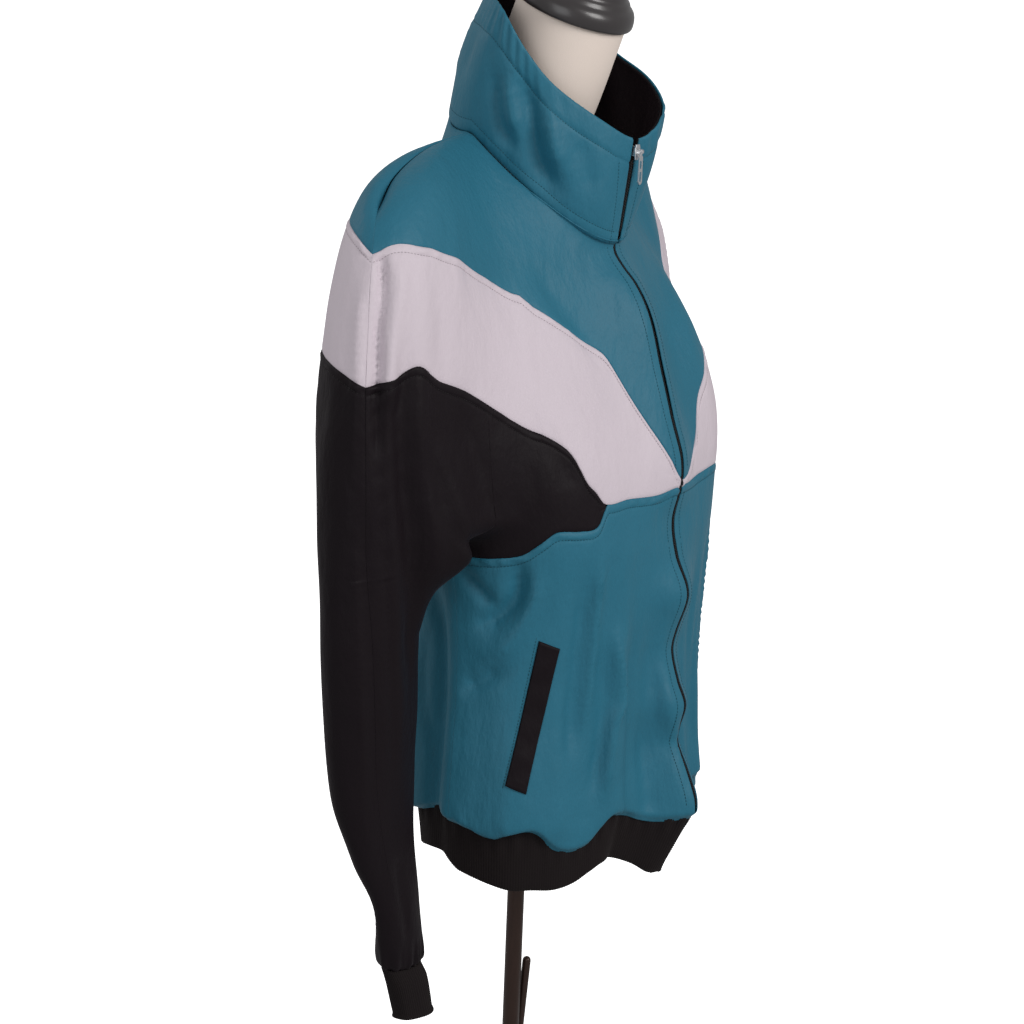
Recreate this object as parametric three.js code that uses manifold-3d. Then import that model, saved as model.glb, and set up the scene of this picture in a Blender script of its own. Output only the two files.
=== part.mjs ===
// Track jacket with cut-on (dolman) sleeves, worn by a limbless dress form on a pole and tripod.
// Millimetres, +Z up, floor at z = 0. The front faces -Y, the wearer's right is -X.
// Every cloth piece is a wall of CLOTH (or RIB) thickness whose outer face lies on the garment's
// surface functions below; the pieces are kept SEAM apart along their seams.
import * as THREE from 'three';
import * as BufferGeometryUtils from 'three/addons/utils/BufferGeometryUtils.js';
import Module from 'manifold-3d';

const wasm = await Module();
wasm.setup();

// ---------------------------------------------------------------- driving dimensions
const CLOTH = 1.5;          // tricot wall
const RIB = 2.2;            // rib knit wall
const SEAM = 0.3;           // gap between sewn pieces
const UNDERARM_Z = 650;     // height of the underarm point
const CUFF_Z = 284;         // lower end of the sleeve panels
const CUFF_END_Z = 238;     // lower end of the cuffs
const NECK_SHARE = 0.55;    // share of s (0..2) where the neck point lies on the top line
const ZIP_HALF = 2.7;       // half of the gap between the two fronts
const COLLAR_WALL = 1.6;
const WELT = { s0: 0.535, s1: 0.622, z0: 446, z1: 574.5, lean: 0.115, wall: 1.6 };
const POLE_R = 8;
const TRIPOD = { turns: [60, 180, 300], hubZ: 118, hubR: 21, hubH: 30, footR: 232, rod: 4.5, topR: 15.5, topZ: 124, footZ: 9 };
// the left arm hangs further back than the right one and its forearm swings back by `swing`, the left chest stands fuller, and the left front is drawn
// outward by `drawn` (a share of the way round) between the zip and the side
const LEFT = { back: 48, from: 150, to: 240, chest: 26, x: 95, width: 52, z: 808, height: 92, drawn: 0.07, swing: 60 };
const PIN = { y: -97.0, z: 994, r: 0.8 };   // hinge pin of the pull tab, along X
const TAB = { length: 29, width: 6.4, wall: 1.3 };

// ---------------------------------------------------------------- tables (columns named above each)
// torso sections:   z, halfWidth, frontY, backY, sideY, square
const TORSO = [
  [392, 174, -150, 62, -32, 0.03], [410, 178, -153, 68, -31, 0.03], [450, 176, -150, 66, -30, 0.03],
  [520, 168, -146, 66, -28, 0.03], [600, 166, -146, 74, -24, 0.04], [665, 174, -150, 86, -18, 0.05],
  [740, 184, -148, 104, -8, 0.06], [820, 190, -128, 118, 6, 0.06], [900, 190, -100, 122, 20, 0.06],
  [1000, 180, -80, 118, 30, 0.05],
];
// sleeve sections:  z, centreX, centreY, radiusX, radiusY
const SLEEVE = [
  [226, -207, -22, 23, 13], [268, -213, -15.5, 24, 14.2], [284, -216, -10.5, 27, 15], [300, -218, -9, 29, 16.4],
  [345, -227, -9.3, 31, 15], [390, -237, -2.3, 41, 18.5], [450, -246, 5.5, 51, 27.8], [520, -252, 6.6, 54.5, 32.4],
  [600, -256, 6.6, 56, 35], [665, -256, 7, 58, 39], [740, -254, 7, 59, 47], [820, -251, 6, 60, 54],
  [900, -246, 8, 60, 60], [1000, -240, 12, 60, 64],
];
// hanging fold under the arm, front:  z, reach
const DRAPE = [[589, 0], [628, 13], [650, 34], [664, 46], [690, 44], [740, 18], [800, 0]];
// overarm seam round the sleeve section:  z, degrees from the inner side through the front
const OVERARM = [[226, 125], [400, 120], [450, 122], [520, 125], [600, 131], [665, 141], [740, 150], [820, 158], [1000, 165]];
// centre front (the zip waves):  z, y
const CENTRE = [
  [399, -186], [415, -185], [438, -176], [464, -163], [478, -164], [501, -170], [522, -161], [549, -153],
  [567, -156], [597, -166], [611, -165], [637, -153], [668, -148], [697, -155], [711, -157], [730, -156],
  [763, -146], [804, -135], [837, -126.5], [859, -118], [878, -106], [890, -93.5], [904, -81.5], [921, -77.5],
];
// shoulder seam from the neck point to the shoulder tip:  share, x, y, z
const SHOULDER = [[0, -78, 32, 1006], [0.35, -125, 36, 1000], [0.65, -168, 34, 990], [0.85, -205, 30, 975], [1, -232, 24, 955]];
const NECK = { x: -78, y: 32, z: 1006, frontY: -79, frontZ: 912, backY: 84, backZ: 1032 };
// colour seams on the front:  s, v   (s: 0 centre front .. 1 side .. 2 overarm; v: 0 underarm .. 1 top line)
const FRONT_TOP = [[0, 0.262], [0.03, 0.28], [0.065, 0.323], [0.105, 0.375], [0.14, 0.42], [0.19, 0.492], [0.25, 0.508], [0.355, 0.515],
  [0.455, 0.516], [0.645, 0.504], [0.905, 0.503], [1.105, 0.512], [1.395, 0.535], [1.61, 0.578], [1.83, 0.64], [2, 0.665]];
const FRONT_TOP_LEFT = [[0, 0.262], [0.03, 0.258], [0.06, 0.257], [0.09, 0.264], [0.125, 0.296], [0.155, 0.338], [0.19, 0.365], [0.25, 0.38], [0.33, 0.392],
  [0.45, 0.412], [0.645, 0.442], [0.905, 0.475], [1.105, 0.5], [1.395, 0.53], [1.61, 0.575], [1.83, 0.64], [2, 0.665]];
const FRONT_LOW = [[0, 0.238], [0.025, 0.24], [0.105, 0.212], [0.245, 0.186], [0.35, 0.163], [0.385, 0.185], [0.415, 0.2], [0.445, 0.24],
  [0.47, 0.256], [0.535, 0.266], [0.68, 0.265], [0.815, 0.263], [1.105, 0.263], [1.42, 0.264], [1.57, 0.283], [1.68, 0.31], [1.8, 0.3], [2, 0.303]];
const FRONT_CHEST = [[0.35, 0.155], [0.39, 0.105], [0.46, 0.089], [0.545, 0.08], [0.61, 0.052], [0.69, 0.018], [0.77, 0.007], [0.86, 0.001], [1, 0]];
// colour seams on the back
const BACK_TOP = [[0, 0.3], [0.1, 0.33], [0.3, 0.42], [0.6, 0.5], [1, 0.56], [1.4, 0.62], [1.75, 0.66], [2, 0.665]];
const BACK_LOW = [[0, 0.15], [0.12, 0.16], [0.35, 0.215], [0.6, 0.265], [1, 0.29], [1.4, 0.31], [1.75, 0.315], [2, 0.303]];
const BACK_CHEST = [[0.3, 0.195], [0.36, 0.14], [0.45, 0.09], [0.6, 0.05], [0.8, 0.012], [1, 0]];
const TIP = { front: 0.35, back: 0.3 };
// lower edge of the teal over the hem band:  s, z   front then back
const HEM_FRONT = [[0, 396], [0.1, 396], [0.16, 400], [0.23, 407], [0.295, 408], [0.335, 396], [0.37, 387], [0.42, 382], [0.48, 382], [0.54, 388], [0.585, 399], [0.63, 403], [0.7, 400], [0.79, 394], [0.85, 397], [0.93, 404], [1, 407]];
const HEM_BACK = [[0, 398], [0.2, 393], [0.35, 400], [0.5, 406], [0.62, 402], [0.8, 412], [0.9, 411], [1, 407]];
// lower edge of the hem band:  s, z   front then back
const BAND_FRONT = [[0, 338], [0.06, 341], [0.12, 352], [0.2, 361], [0.3, 363], [0.36, 358], [0.43, 350], [0.52, 346], [0.62, 347], [0.72, 347], [0.82, 351], [0.92, 356], [1, 360]];
const BAND_BACK = [[0, 352], [0.25, 350], [0.5, 362], [0.7, 371], [0.85, 371], [1, 360]];
// long vertical folds of the fronts:  s, width, depth, zTop, zFull
const FOLDS = [[0.115, 0.06, -13, 640, 430], [0.27, 0.05, 5, 690, 560], [0.215, 0.03, -4, 640, 540], [0.42, 0.08, -5, 600, 470], [0.72, 0.09, 5, 560, 430]];
// deep fold of the back beside the side seam:  s, width, depth, zTop, zFull
const BACK_FOLDS = [[0.84, 0.07, -12, 650, 560], [0.6, 0.1, 5, 620, 480], [0.3, 0.1, -6, 600, 440], [0.1, 0.08, 4, 620, 470]];
// collar, top edge by station round the neck:  turn (degrees from centre front, right is negative), x, y, z
const COLLAR_TOP = [
  [-180, 0, 50, 1126], [-150, -36, 44, 1126], [-120, -64, 22, 1124], [-90, -80, 0, 1112], [-62, -76, -22, 1080],
  [-40, -60, -44, 1050], [-20, -31, -74, 1022], [0, 0, -92, 1005], [20, 31, -97, 1016], [40, 57, -88, 1032],
  [62, 78, -62, 1050], [90, 86, -26, 1068], [120, 78, 10, 1092], [150, 46, 38, 1112], [180, 0, 50, 1126],
];
// round-topped rod that stands in the hub beside the pole:  x, y, z at its lower end, then at its top
const SIDE_ROD = { r: 4, low: [14.4, 0.6, 121], high: [13.3, -7.1, 215] };
// dress form sections:  z, halfWidth, frontY, backY
const FORM = [
  [402, 146, -112, 46], [420, 150, -116, 50], [470, 146, -114, 50], [530, 132, -110, 50], [600, 128, -112, 56],
  [660, 140, -120, 68], [720, 156, -122, 80], [760, 159, -108, 84], [800, 160, -92, 86], [840, 160, -76, 86],
  [880, 160, -56, 84], [910, 158, -37, 80], [930, 153, -25, 75], [950, 145, -10, 68], [965, 133, 0, 60],
  [977, 117, 10, 52], [985, 98, 17, 45],
];
// neck of the form:  z, centreY, radius   (leans forward)
const NECK_STUB = [[880, 30, 64], [930, 28, 60], [965, 25, 55], [1000, 19, 52]];
const NECK_FORM = { y: 19, z: 1000.3, topY: -22, topZ: 1112, r: 51 };

// ---------------------------------------------------------------- interpolation
function table(rows, col, at) {
  const n = rows.length;
  const x = Math.min(Math.max(at, rows[0][0]), rows[n - 1][0]);
  let i = 0;
  while (i < n - 2 && x > rows[i + 1][0]) i++;
  const slope = (k) => {
    const a = Math.max(k - 1, 0), b = Math.min(k + 1, n - 1);
    return (rows[b][col] - rows[a][col]) / (rows[b][0] - rows[a][0]);
  };
  const h = rows[i + 1][0] - rows[i][0], t = (x - rows[i][0]) / h;
  return (2 * t ** 3 - 3 * t * t + 1) * rows[i][col] + (t ** 3 - 2 * t * t + t) * h * slope(i)
    + (-2 * t ** 3 + 3 * t * t) * rows[i + 1][col] + (t ** 3 - t * t) * h * slope(i + 1);
}
const clamp = (x, a, b) => Math.min(Math.max(x, a), b);
const ramp = (a, b, x) => { const t = clamp((x - a) / (b - a), 0, 1); return t * t * (3 - 2 * t); };
const RAD = Math.PI / 180;

// ---------------------------------------------------------------- the garment's surface (right half)
function torsoSection(s, z, back) {
  const a = table(TORSO, 1, z), end = table(TORSO, back ? 3 : 2, z), side = table(TORSO, 4, z);
  const ph = s * Math.PI / 2, k = 1 + table(TORSO, 5, z) * Math.sin(2 * ph) ** 2;
  let out = 0;
  for (const [fs, w, depth, top, full] of back ? BACK_FOLDS : FOLDS)
    out += depth * Math.exp(-(((s - fs) / w) ** 2)) * (1 - ramp(full, top, z)) * ramp(385, 415, z);
  const x = -a * Math.sin(ph) * k, y = side + (end - side) * Math.cos(ph) * k;
  let nx = x, ny = (y - side) * (a / Math.max(Math.abs(end - side), 1)) ** 2;
  const n = Math.hypot(nx, ny) || 1;
  return [x + out * nx / n, y + out * ny / n];
}
function sleeveSection(s, z, back) {
  const over = table(OVERARM, 1, z) * RAD;
  const turn = back ? -s * (2 * Math.PI - over) : s * over;
  const fold = back ? 0 : table(DRAPE, 1, z) * Math.exp(-(((turn - 62 * RAD) / (28 * RAD)) ** 2));
  return [table(SLEEVE, 1, z) + table(SLEEVE, 3, z) * Math.cos(turn) + 0.5 * fold,
    table(SLEEVE, 2, z) - table(SLEEVE, 4, z) * Math.sin(turn) - 0.866 * fold];
}
function topLine(s, back) {
  if (s <= NECK_SHARE) {
    const th = (s / NECK_SHARE) * Math.PI / 2;
    const endY = back ? NECK.backY : NECK.frontY, endZ = back ? NECK.backZ : NECK.frontZ;
    const y = NECK.y + (endY - NECK.y) * Math.cos(th);
    return [NECK.x * Math.sin(th), y, back ? NECK.z + (endZ - NECK.z) * (1 - Math.sin(th)) : endZ + (NECK.z - endZ) * (y - endY) / (NECK.y - endY)];
  }
  const g = (s - NECK_SHARE) / (2 - NECK_SHARE);
  return [table(SHOULDER, 1, g), table(SHOULDER, 2, g), table(SHOULDER, 3, g)];
}
function topGuide(s, back) {
  const out = [0, 0, 0];
  for (let k = -3; k <= 3; k++) {
    const a = s + k * 0.1 * Math.min(1, (2 - s) / 0.3), p = topLine(Math.abs(a), back);
    for (let c = 0; c < 3; c++) out[c] += (a < 0 && c === 0 ? -p[c] : p[c]) / 7;
  }
  return out;
}
// s: 0 centre .. 1 side | 1+ underarm seam of the sleeve .. 2 overarm; v below 0 is millimetres under the
// underarm point, v from 0 to 1 runs up to the neckline and the shoulder seam
function surface(s, v, back = false, sleeveSide = s > 1) {
  const g = topGuide(s, back), e = topLine(s, back), q = clamp(v, 0, 1) ** 3;
  const t = [0, 1, 2].map((c) => g[c] + (e[c] - g[c]) * q);
  const m = s < NECK_SHARE ? 1.15 + 0.5 * s / NECK_SHARE : 1.65 + 0.9 * ramp(NECK_SHARE, 1.6, s);
  const al = clamp(v, 0, 1) * Math.PI / 2;
  const w = Math.cos(al) ** (2 / m), h = Math.sin(al) ** (2 / m);
  const z = v < 0 ? UNDERARM_Z + v : UNDERARM_Z + (t[2] - UNDERARM_Z) * h;
  let [x, y] = sleeveSide ? sleeveSection(clamp(s - 1, 0, 1), z, back) : torsoSection(clamp(s, 0, 1), z, back);
  if (v >= 0) {
    const s0 = 0.64 - 0.2 * ramp(UNDERARM_Z, 900, z), s1 = 1.6;
    if (s > s0 && s < s1) {
      const A = torsoSection(s0, z, back), A2 = torsoSection(s0 - 1e-3, z, back);
      const B = sleeveSection(s1 - 1, z, back), B2 = sleeveSection(s1 - 1 + 1e-3, z, back);
      const L = 0.9 * Math.hypot(B[0] - A[0], B[1] - A[1]);
      const na = Math.hypot(A[0] - A2[0], A[1] - A2[1]), nb = Math.hypot(B2[0] - B[0], B2[1] - B[1]);
      const u = (s - s0) / (s1 - s0);
      const c = [2 * u ** 3 - 3 * u * u + 1, u ** 3 - 2 * u * u + u, -2 * u ** 3 + 3 * u * u, u ** 3 - u * u];
      const up = ramp(0, back ? 60 : 38, z - UNDERARM_Z);
      const mix = (k) => c[0] * A[k] + c[1] * L * (A[k] - A2[k]) / na + c[2] * B[k] + c[3] * L * (B2[k] - B[k]) / nb;
      x += (mix(0) - x) * up;
      y += (mix(1) - y) * up;
    }
    x = t[0] + (x - t[0]) * w;
    y = t[1] + (y - t[1]) * w;
  }
  if (!back && !sleeveSide) {
    const flat = v < 0 ? table(TORSO, 2, z) : NECK.frontY + (table(TORSO, 2, z) - NECK.frontY) * w;
    y += (table(CENTRE, 1, z) - flat) * Math.exp(-((x / 34) ** 2));
  }
  return [x, y, z];
}

// ---------------------------------------------------------------- walls
const sub = (a, b) => [a[0] - b[0], a[1] - b[1], a[2] - b[2]];
const cross = (a, b) => [a[1] * b[2] - a[2] * b[1], a[2] * b[0] - a[0] * b[2], a[0] * b[1] - a[1] * b[0]];
const unit = (a) => { const n = Math.hypot(...a) || 1; return a.map((c) => c / n); };
// closed wall over a grid of points: P[i][j] outer face, N[i][j] outward normals, mask(i, j) keeps a cell
function wall(P, N, thickness, mask = () => true, wrap = false) {
  const ni = P.length, nj = P[0].length, pos = [], tri = [], cells = wrap ? ni : ni - 1;
  const outer = (i, j) => (i % ni) * nj + j, inner = (i, j) => ni * nj + (i % ni) * nj + j;
  for (let i = 0; i < ni; i++) for (let j = 0; j < nj; j++) pos.push(...P[i][j]);
  for (let i = 0; i < ni; i++) for (let j = 0; j < nj; j++) pos.push(...P[i][j].map((c, k) => c - N[i][j][k] * thickness));
  const on = (i, j) => j >= 0 && j < nj - 1 && (wrap || (i >= 0 && i < cells)) && mask((i + ni) % ni, j);
  const quad = (a, b, c, d) => tri.push(a, b, c, a, c, d);
  for (let i = 0; i < cells; i++) for (let j = 0; j < nj - 1; j++) {
    if (!on(i, j)) continue;
    quad(outer(i, j), outer(i + 1, j), outer(i + 1, j + 1), outer(i, j + 1));
    quad(inner(i, j), inner(i, j + 1), inner(i + 1, j + 1), inner(i + 1, j));
    if (!on(i, j - 1)) quad(outer(i + 1, j), outer(i, j), inner(i, j), inner(i + 1, j));
    if (!on(i, j + 1)) quad(outer(i, j + 1), outer(i + 1, j + 1), inner(i + 1, j + 1), inner(i, j + 1));
    if (!on(i - 1, j)) quad(outer(i, j), outer(i, j + 1), inner(i, j + 1), inner(i, j));
    if (!on(i + 1, j)) quad(outer(i + 1, j + 1), outer(i + 1, j), inner(i + 1, j), inner(i + 1, j + 1));
  }
  return closed(pos, tri);
}
function closed(pos, tri) {
  let volume = 0;
  const p = (k) => [pos[3 * k], pos[3 * k + 1], pos[3 * k + 2]];
  for (let k = 0; k < tri.length; k += 3) {
    const a = p(tri[k]), c = cross(p(tri[k + 1]), p(tri[k + 2]));
    volume += a[0] * c[0] + a[1] * c[1] + a[2] * c[2];
  }
  if (volume < 0) for (let k = 0; k < tri.length; k += 3) [tri[k + 1], tri[k + 2]] = [tri[k + 2], tri[k + 1]];
  const used = new Map(), out = [], index = tri.map((k) => {
    if (!used.has(k)) { used.set(k, used.size); out.push(...p(k)); }
    return used.get(k);
  });
  const g = new THREE.BufferGeometry();
  g.setAttribute('position', new THREE.Float32BufferAttribute(out, 3));
  g.setIndex(index);
  return BufferGeometryUtils.mergeVertices(g, 1e-4);
}
// outward normal of a point function f(a, b) by differences that stay inside its range
function normalAt(f, a, b, da, db, away) {
  const p = f(a, b);
  let n = unit(cross(sub(f(a + da, b), f(a - da, b)), sub(f(a, b + db), f(a, b - db))));
  if (n[0] * (p[0] - away[0]) + n[1] * (p[1] - away[1]) + n[2] * (p[2] - away[2]) < 0) n = n.map((c) => -c);
  return n;
}

// ---------------------------------------------------------------- body and sleeve panels
const lerp = (a, b, t) => a + (b - a) * t;
const mirror = (p, side) => [p[0] * side, p[1], p[2]];
// a point of the right half set on its side of the garment
function place(p, side) {
  const q = mirror(p, side);
  if (q[0] <= 0) return q;
  // below the underarm the whole sleeve moves and the body stays; the cuffs reach further in than the hem band
  const apart = 1 - ramp(560, 680, q[2]), low = 1 - ramp(300, 336, q[2]);
  const share = ramp(LEFT.from + 31 * apart - 31 * low, LEFT.to - 50 * apart - 10 * low, q[0]);
  const arm = share * (LEFT.back * (1 - 0.25 * ramp(900, 1010, q[2])) + LEFT.swing * (1 - ramp(290, 600, q[2])));
  const chest = LEFT.chest * Math.exp(-(((q[0] - LEFT.x) / LEFT.width) ** 2) - ((q[2] - LEFT.z) / LEFT.height) ** 2) * (1 - ramp(-60, 20, q[1]));
  return [q[0], q[1] + arm - chest, q[2]];
}
// where a station of the left front lies round the body
const drawn = (s, v) => s + LEFT.drawn * ramp(0.02, 0.14, s) * (1 - ramp(0.5, 0.97, s)) * (v >= 0 ? 1 : ramp(-60, -5, v));
// one panel point with its normal; side +1 is the wearer's right, -1 the left
function panelPoint(s, v, back, side, sleeveSide, lift = 0) {
  const f = (a, b) => place(surface(side < 0 && !back ? drawn(a, b) : a, b, back, sleeveSide), side);
  const low = sleeveSide ? 1.004 : 0.004, high = sleeveSide ? 1.996 : 0.996;
  const a = clamp(s, low, high), dv = v <= 0 ? (v > -0.5 ? 0.004 : 0.5) : 0.004;
  const b = v > 0.985 ? 0.985 : (v > -0.5 && v < 0.01 ? 0.01 : v);
  const z = surface(s, v, back, sleeveSide)[2];
  const away = sleeveSide ? [table(SLEEVE, 1, z), table(SLEEVE, 2, z), z - (v > 0.6 ? 60 : 0)] : [0, table(TORSO, 4, z), z - (v > 0.6 ? 120 : 0)];
  const span = v > 0.15 ? [0, 10, 640] : away;
  const n = normalAt(f, a, b, 0.004, dv, place(v > 0.15 ? span : away, side));
  return { p: f(s, v).map((c, k) => c + n[k] * lift), n };
}
const stepV = (s, v, back, sleeveSide, mm) => {
  const d = v < 0 ? 0.5 : 0.004, a = surface(s, v, back, sleeveSide), b = surface(s, v > 0.99 ? v - d : v + d, back, sleeveSide);
  return mm * d / Math.max(Math.hypot(...sub(a, b)), 1e-6);
};
const stepS = (s, v, back, sleeveSide, mm) => {
  const d = 0.004, a = surface(s, v, back, sleeveSide), b = surface(s > 1.99 || (s > 0.99 && !sleeveSide) ? s - d : s + d, v, back, sleeveSide);
  return mm * d / Math.max(Math.hypot(...sub(a, b)), 1e-6);
};
function grid(columns, rows, back, side) {
  // columns: [{ s, sleeveSide }], rows(col) -> [v...]
  const P = [], N = [];
  for (const col of columns) {
    const a = [], b = [];
    for (const v of rows(col)) { const q = panelPoint(col.s, v, back, side, col.sleeveSide, 0); a.push(q.p); b.push(q.n); }
    P.push(a); N.push(b);
  }
  return { P, N };
}
const range = (a, b, n) => Array.from({ length: n + 1 }, (_, k) => a + (b - a) * k / n);
const g2 = SEAM / 2;
const gapS = (s, v, back, sl, dir, mm = g2) => s + dir * stepS(s, v, back, sl, mm);
const zipS = (v) => stepS(0, v, false, false, ZIP_HALF);

function columnSet(list, back) {
  return list.map((s) => ({ s, sleeveSide: s > 1, back }));
}
// upper panels that run from the centre to the overarm
function upperPanel(lowFn, highFn, list, nv, back, side, fromTip) {
  const cols = columnSet(list, back);
  const rows = (c) => {
    const lo = lowFn(c.s), hi = highFn(c.s);
    const a = lo + stepV(c.s, lo, back, c.sleeveSide, g2), b = hi - stepV(c.s, hi, back, c.sleeveSide, g2);
    return range(a, Math.max(b, a + 0.002), nv);
  };
  return grid(cols, rows, back, side);
}
const FTL = (s) => table(FRONT_TOP_LEFT, 1, s);
const FT = (s) => table(FRONT_TOP, 1, s), FL = (s) => table(FRONT_LOW, 1, s), FC = (s) => table(FRONT_CHEST, 1, s);
const BT = (s) => table(BACK_TOP, 1, s), BL = (s) => table(BACK_LOW, 1, s), BC = (s) => table(BACK_CHEST, 1, s);
const OVER = 2 - 0.0016;          // the overarm seam keeps half a seam gap on each face
const CF0 = zipS(0.3);

// stations shared by the pieces that meet along a seam
const BODY_S = [0.045, 0.085, 0.125, 0.17, 0.22, 0.27];
const POINT_S = [0.39, 0.43, 0.48, 0.56, 0.66, 0.78, 0.9];
const ARM_S = [1.15, 1.32, 1.47, 1.6, 1.74, 1.87, OVER];
const FRONT_S = [CF0, ...BODY_S, TIP.front, ...POINT_S, 1, ...ARM_S];
const BACK_BODY_S = [0, 0.1, 0.2];
const BACK_POINT_S = [0.4, 0.48, 0.55, 0.7, 0.84, 0.92];
const BACK_S = [...BACK_BODY_S, TIP.back, ...BACK_POINT_S, 1, ...ARM_S];

const bodyRows = (s) => {
  const hem = table(HEM_FRONT, 1, s) - UNDERARM_Z, top = s < TIP.front ? FL(s) : FC(s);
  return [...range(hem, -6, 10), Math.min(0.03, top * 0.4), top - stepV(s, Math.max(top, 0.002), false, false, g2)];
};
const panelRows = (s, lowFn, highFn, n, back = false) => {
  const lo = lowFn(s), hi = highFn(s), sl = s > 1;
  const a = lo + stepV(s, lo, back, sl, g2), b = hi - stepV(s, hi, back, sl, g2);
  return range(a, Math.max(b, a + 0.002), n);
};
const YOKE_ROWS = 4, BAND_ROWS = 3, TOP_V = 0.9985;
const BLACK = new THREE.MeshStandardMaterial({ color: 0x231c21, roughness: 0.72, metalness: 0 });
const RIBBLACK = new THREE.MeshStandardMaterial({ color: 0x1e1616, roughness: 0.88, metalness: 0 });
const TEAL = new THREE.MeshStandardMaterial({ color: 0x367080, roughness: 0.6, metalness: 0 });
const WHITE = new THREE.MeshStandardMaterial({ color: 0xcdc5cb, roughness: 0.62, metalness: 0 });
const METAL = new THREE.MeshStandardMaterial({ color: 0xb9bcc0, roughness: 0.3, metalness: 1 });
const LINEN = new THREE.MeshStandardMaterial({ color: 0xe1d2c8, roughness: 0.85, metalness: 0 });
const CAP = new THREE.MeshStandardMaterial({ color: 0x4a4646, roughness: 0.35, metalness: 0 });
const STEEL = new THREE.MeshStandardMaterial({ color: 0x3c2a23, roughness: 0.45, metalness: 0.6 });

const object = new THREE.Group();
const add = (name, geometry, material) => {
  const mesh = new THREE.Mesh(geometry, material);
  mesh.name = name;
  object.add(mesh);
  return mesh;
};

for (const [tag, side] of [['right', 1], ['left', -1]]) {
  // ---- yoke, front
  const topSeam = side > 0 ? FT : FTL;
  let q = upperPanel(topSeam, () => TOP_V, FRONT_S, YOKE_ROWS, false, side);
  add(`yoke_front_${tag}`, wall(q.P, q.N, CLOTH), TEAL);
  // ---- white band, front
  q = upperPanel(FL, topSeam, FRONT_S, BAND_ROWS, false, side);
  add(`band_front_${tag}`, wall(q.P, q.N, CLOTH), WHITE);
  // ---- sleeves: below the band, with the point that runs onto the body
  for (const back of [false, true]) {
    const tip = back ? TIP.back : TIP.front, chest = back ? BC : FC, low = back ? BL : FL;
    const bodyCols = [tip + 0.006, ...(back ? BACK_POINT_S : POINT_S), 1].map((s) => ({ s, sleeveSide: false }));
    const armCols = [1.006, ...ARM_S].map((s) => ({ s, sleeveSide: true }));
    const cols = [...bodyCols, ...armCols];
    const under = range(-(UNDERARM_Z - CUFF_Z) + g2, -2, 9);
    const nU = 4;
    const rows = (c) => {
      const lo = c.sleeveSide ? 0.0008 : Math.max(chest(c.s), 0.0008), hi = low(c.s);
      const a = lo + (c.sleeveSide ? 0 : stepV(c.s, lo, back, false, g2)), b = hi - stepV(c.s, hi, back, c.sleeveSide, g2);
      const upper = range(a, Math.max(b, a + 0.002), nU);
      return [...under, ...upper];
    };
    const k = bodyCols.length;
    const gq = grid(cols, rows, back, side);
    add(`sleeve_${back ? 'back' : 'front'}_${tag}`, wall(gq.P, gq.N, CLOTH, (i, j) => j >= under.length || i >= k), BLACK);
  }
  // ---- body, front
  {
    const cols = [0, ...BODY_S, TIP.front - 0.002, TIP.front + 0.002, ...POINT_S, 0.996].map((s) => ({ s, sleeveSide: false }));
    const P = [], N = [];
    for (const c of cols) {
      const rowsV = bodyRows(c.s);
      const a = [], b = [];
      for (let v of rowsV) {
        const s = c.s === 0 ? zipS(v) : c.s;
        const r = panelPoint(s, v, false, side, false);
        a.push(r.p); b.push(r.n);
      }
      P.push(a); N.push(b);
    }
    add(`body_front_${tag}`, wall(P, N, CLOTH), TEAL);
  }
}
// ---- back panels run across both halves
function acrossBack(list, rowsFor) {
  const P = [], N = [];
  const sides = [...[...list].reverse().map((s) => [s, 1]), ...list.filter((s) => s > 0).map((s) => [s, -1])];
  for (const [s, side] of sides) {
    const a = [], b = [];
    for (const v of rowsFor(s)) { const r = panelPoint(s, v, true, side, s > 1); a.push(r.p); b.push(r.n); }
    P.push(a); N.push(b);
  }
  return { P, N };
}
{
  const between = (lowFn, highFn, n) => (s) => {
    const lo = lowFn(s), hi = highFn(s);
    return range(lo + stepV(s, lo, true, s > 1, g2), hi - stepV(s, hi, true, s > 1, g2), n);
  };
  let q = acrossBack(BACK_S, between(BT, () => TOP_V, 4));
  add('yoke_back', wall(q.P, q.N, CLOTH), TEAL);
  q = acrossBack(BACK_S, between(BL, BT, 3));
  add('band_back', wall(q.P, q.N, CLOTH), WHITE);
  q = acrossBack([...BACK_BODY_S, TIP.back - 0.002, TIP.back + 0.002, ...BACK_POINT_S, 0.996], (s) => {
    const hem = table(HEM_BACK, 1, s) - UNDERARM_Z, top = s < TIP.back ? BL(s) : BC(s);
    return [...range(hem, -6, 6), Math.min(0.03, top * 0.4), top - stepV(s, Math.max(top, 0.002), true, false, g2)];
  });
  add('body_back', wall(q.P, q.N, CLOTH), TEAL);
}

// ---------------------------------------------------------------- pocket welts, laid on the fronts
for (const [tag, side] of [['right', 1], ['left', -1]]) {
  const P = [], N = [];
  for (const i of [0, 1, 2, 3]) {
    const a = [], b = [];
    for (const j of range(0, 1, 8)) {
      const s = lerp(WELT.s0, WELT.s1, i / 3) + WELT.lean * (1 - j);
      const v = lerp(WELT.z0, WELT.z1, j) - UNDERARM_Z + (i / 3 - 0.5) * 8;
      const r = panelPoint(s, v, false, side, false, SEAM + WELT.wall);
      a.push(r.p); b.push(r.n);
    }
    P.push(a); N.push(b);
  }
  add(`pocket_welt_${tag}`, wall(P, N, WELT.wall), RIBBLACK);
}

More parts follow.
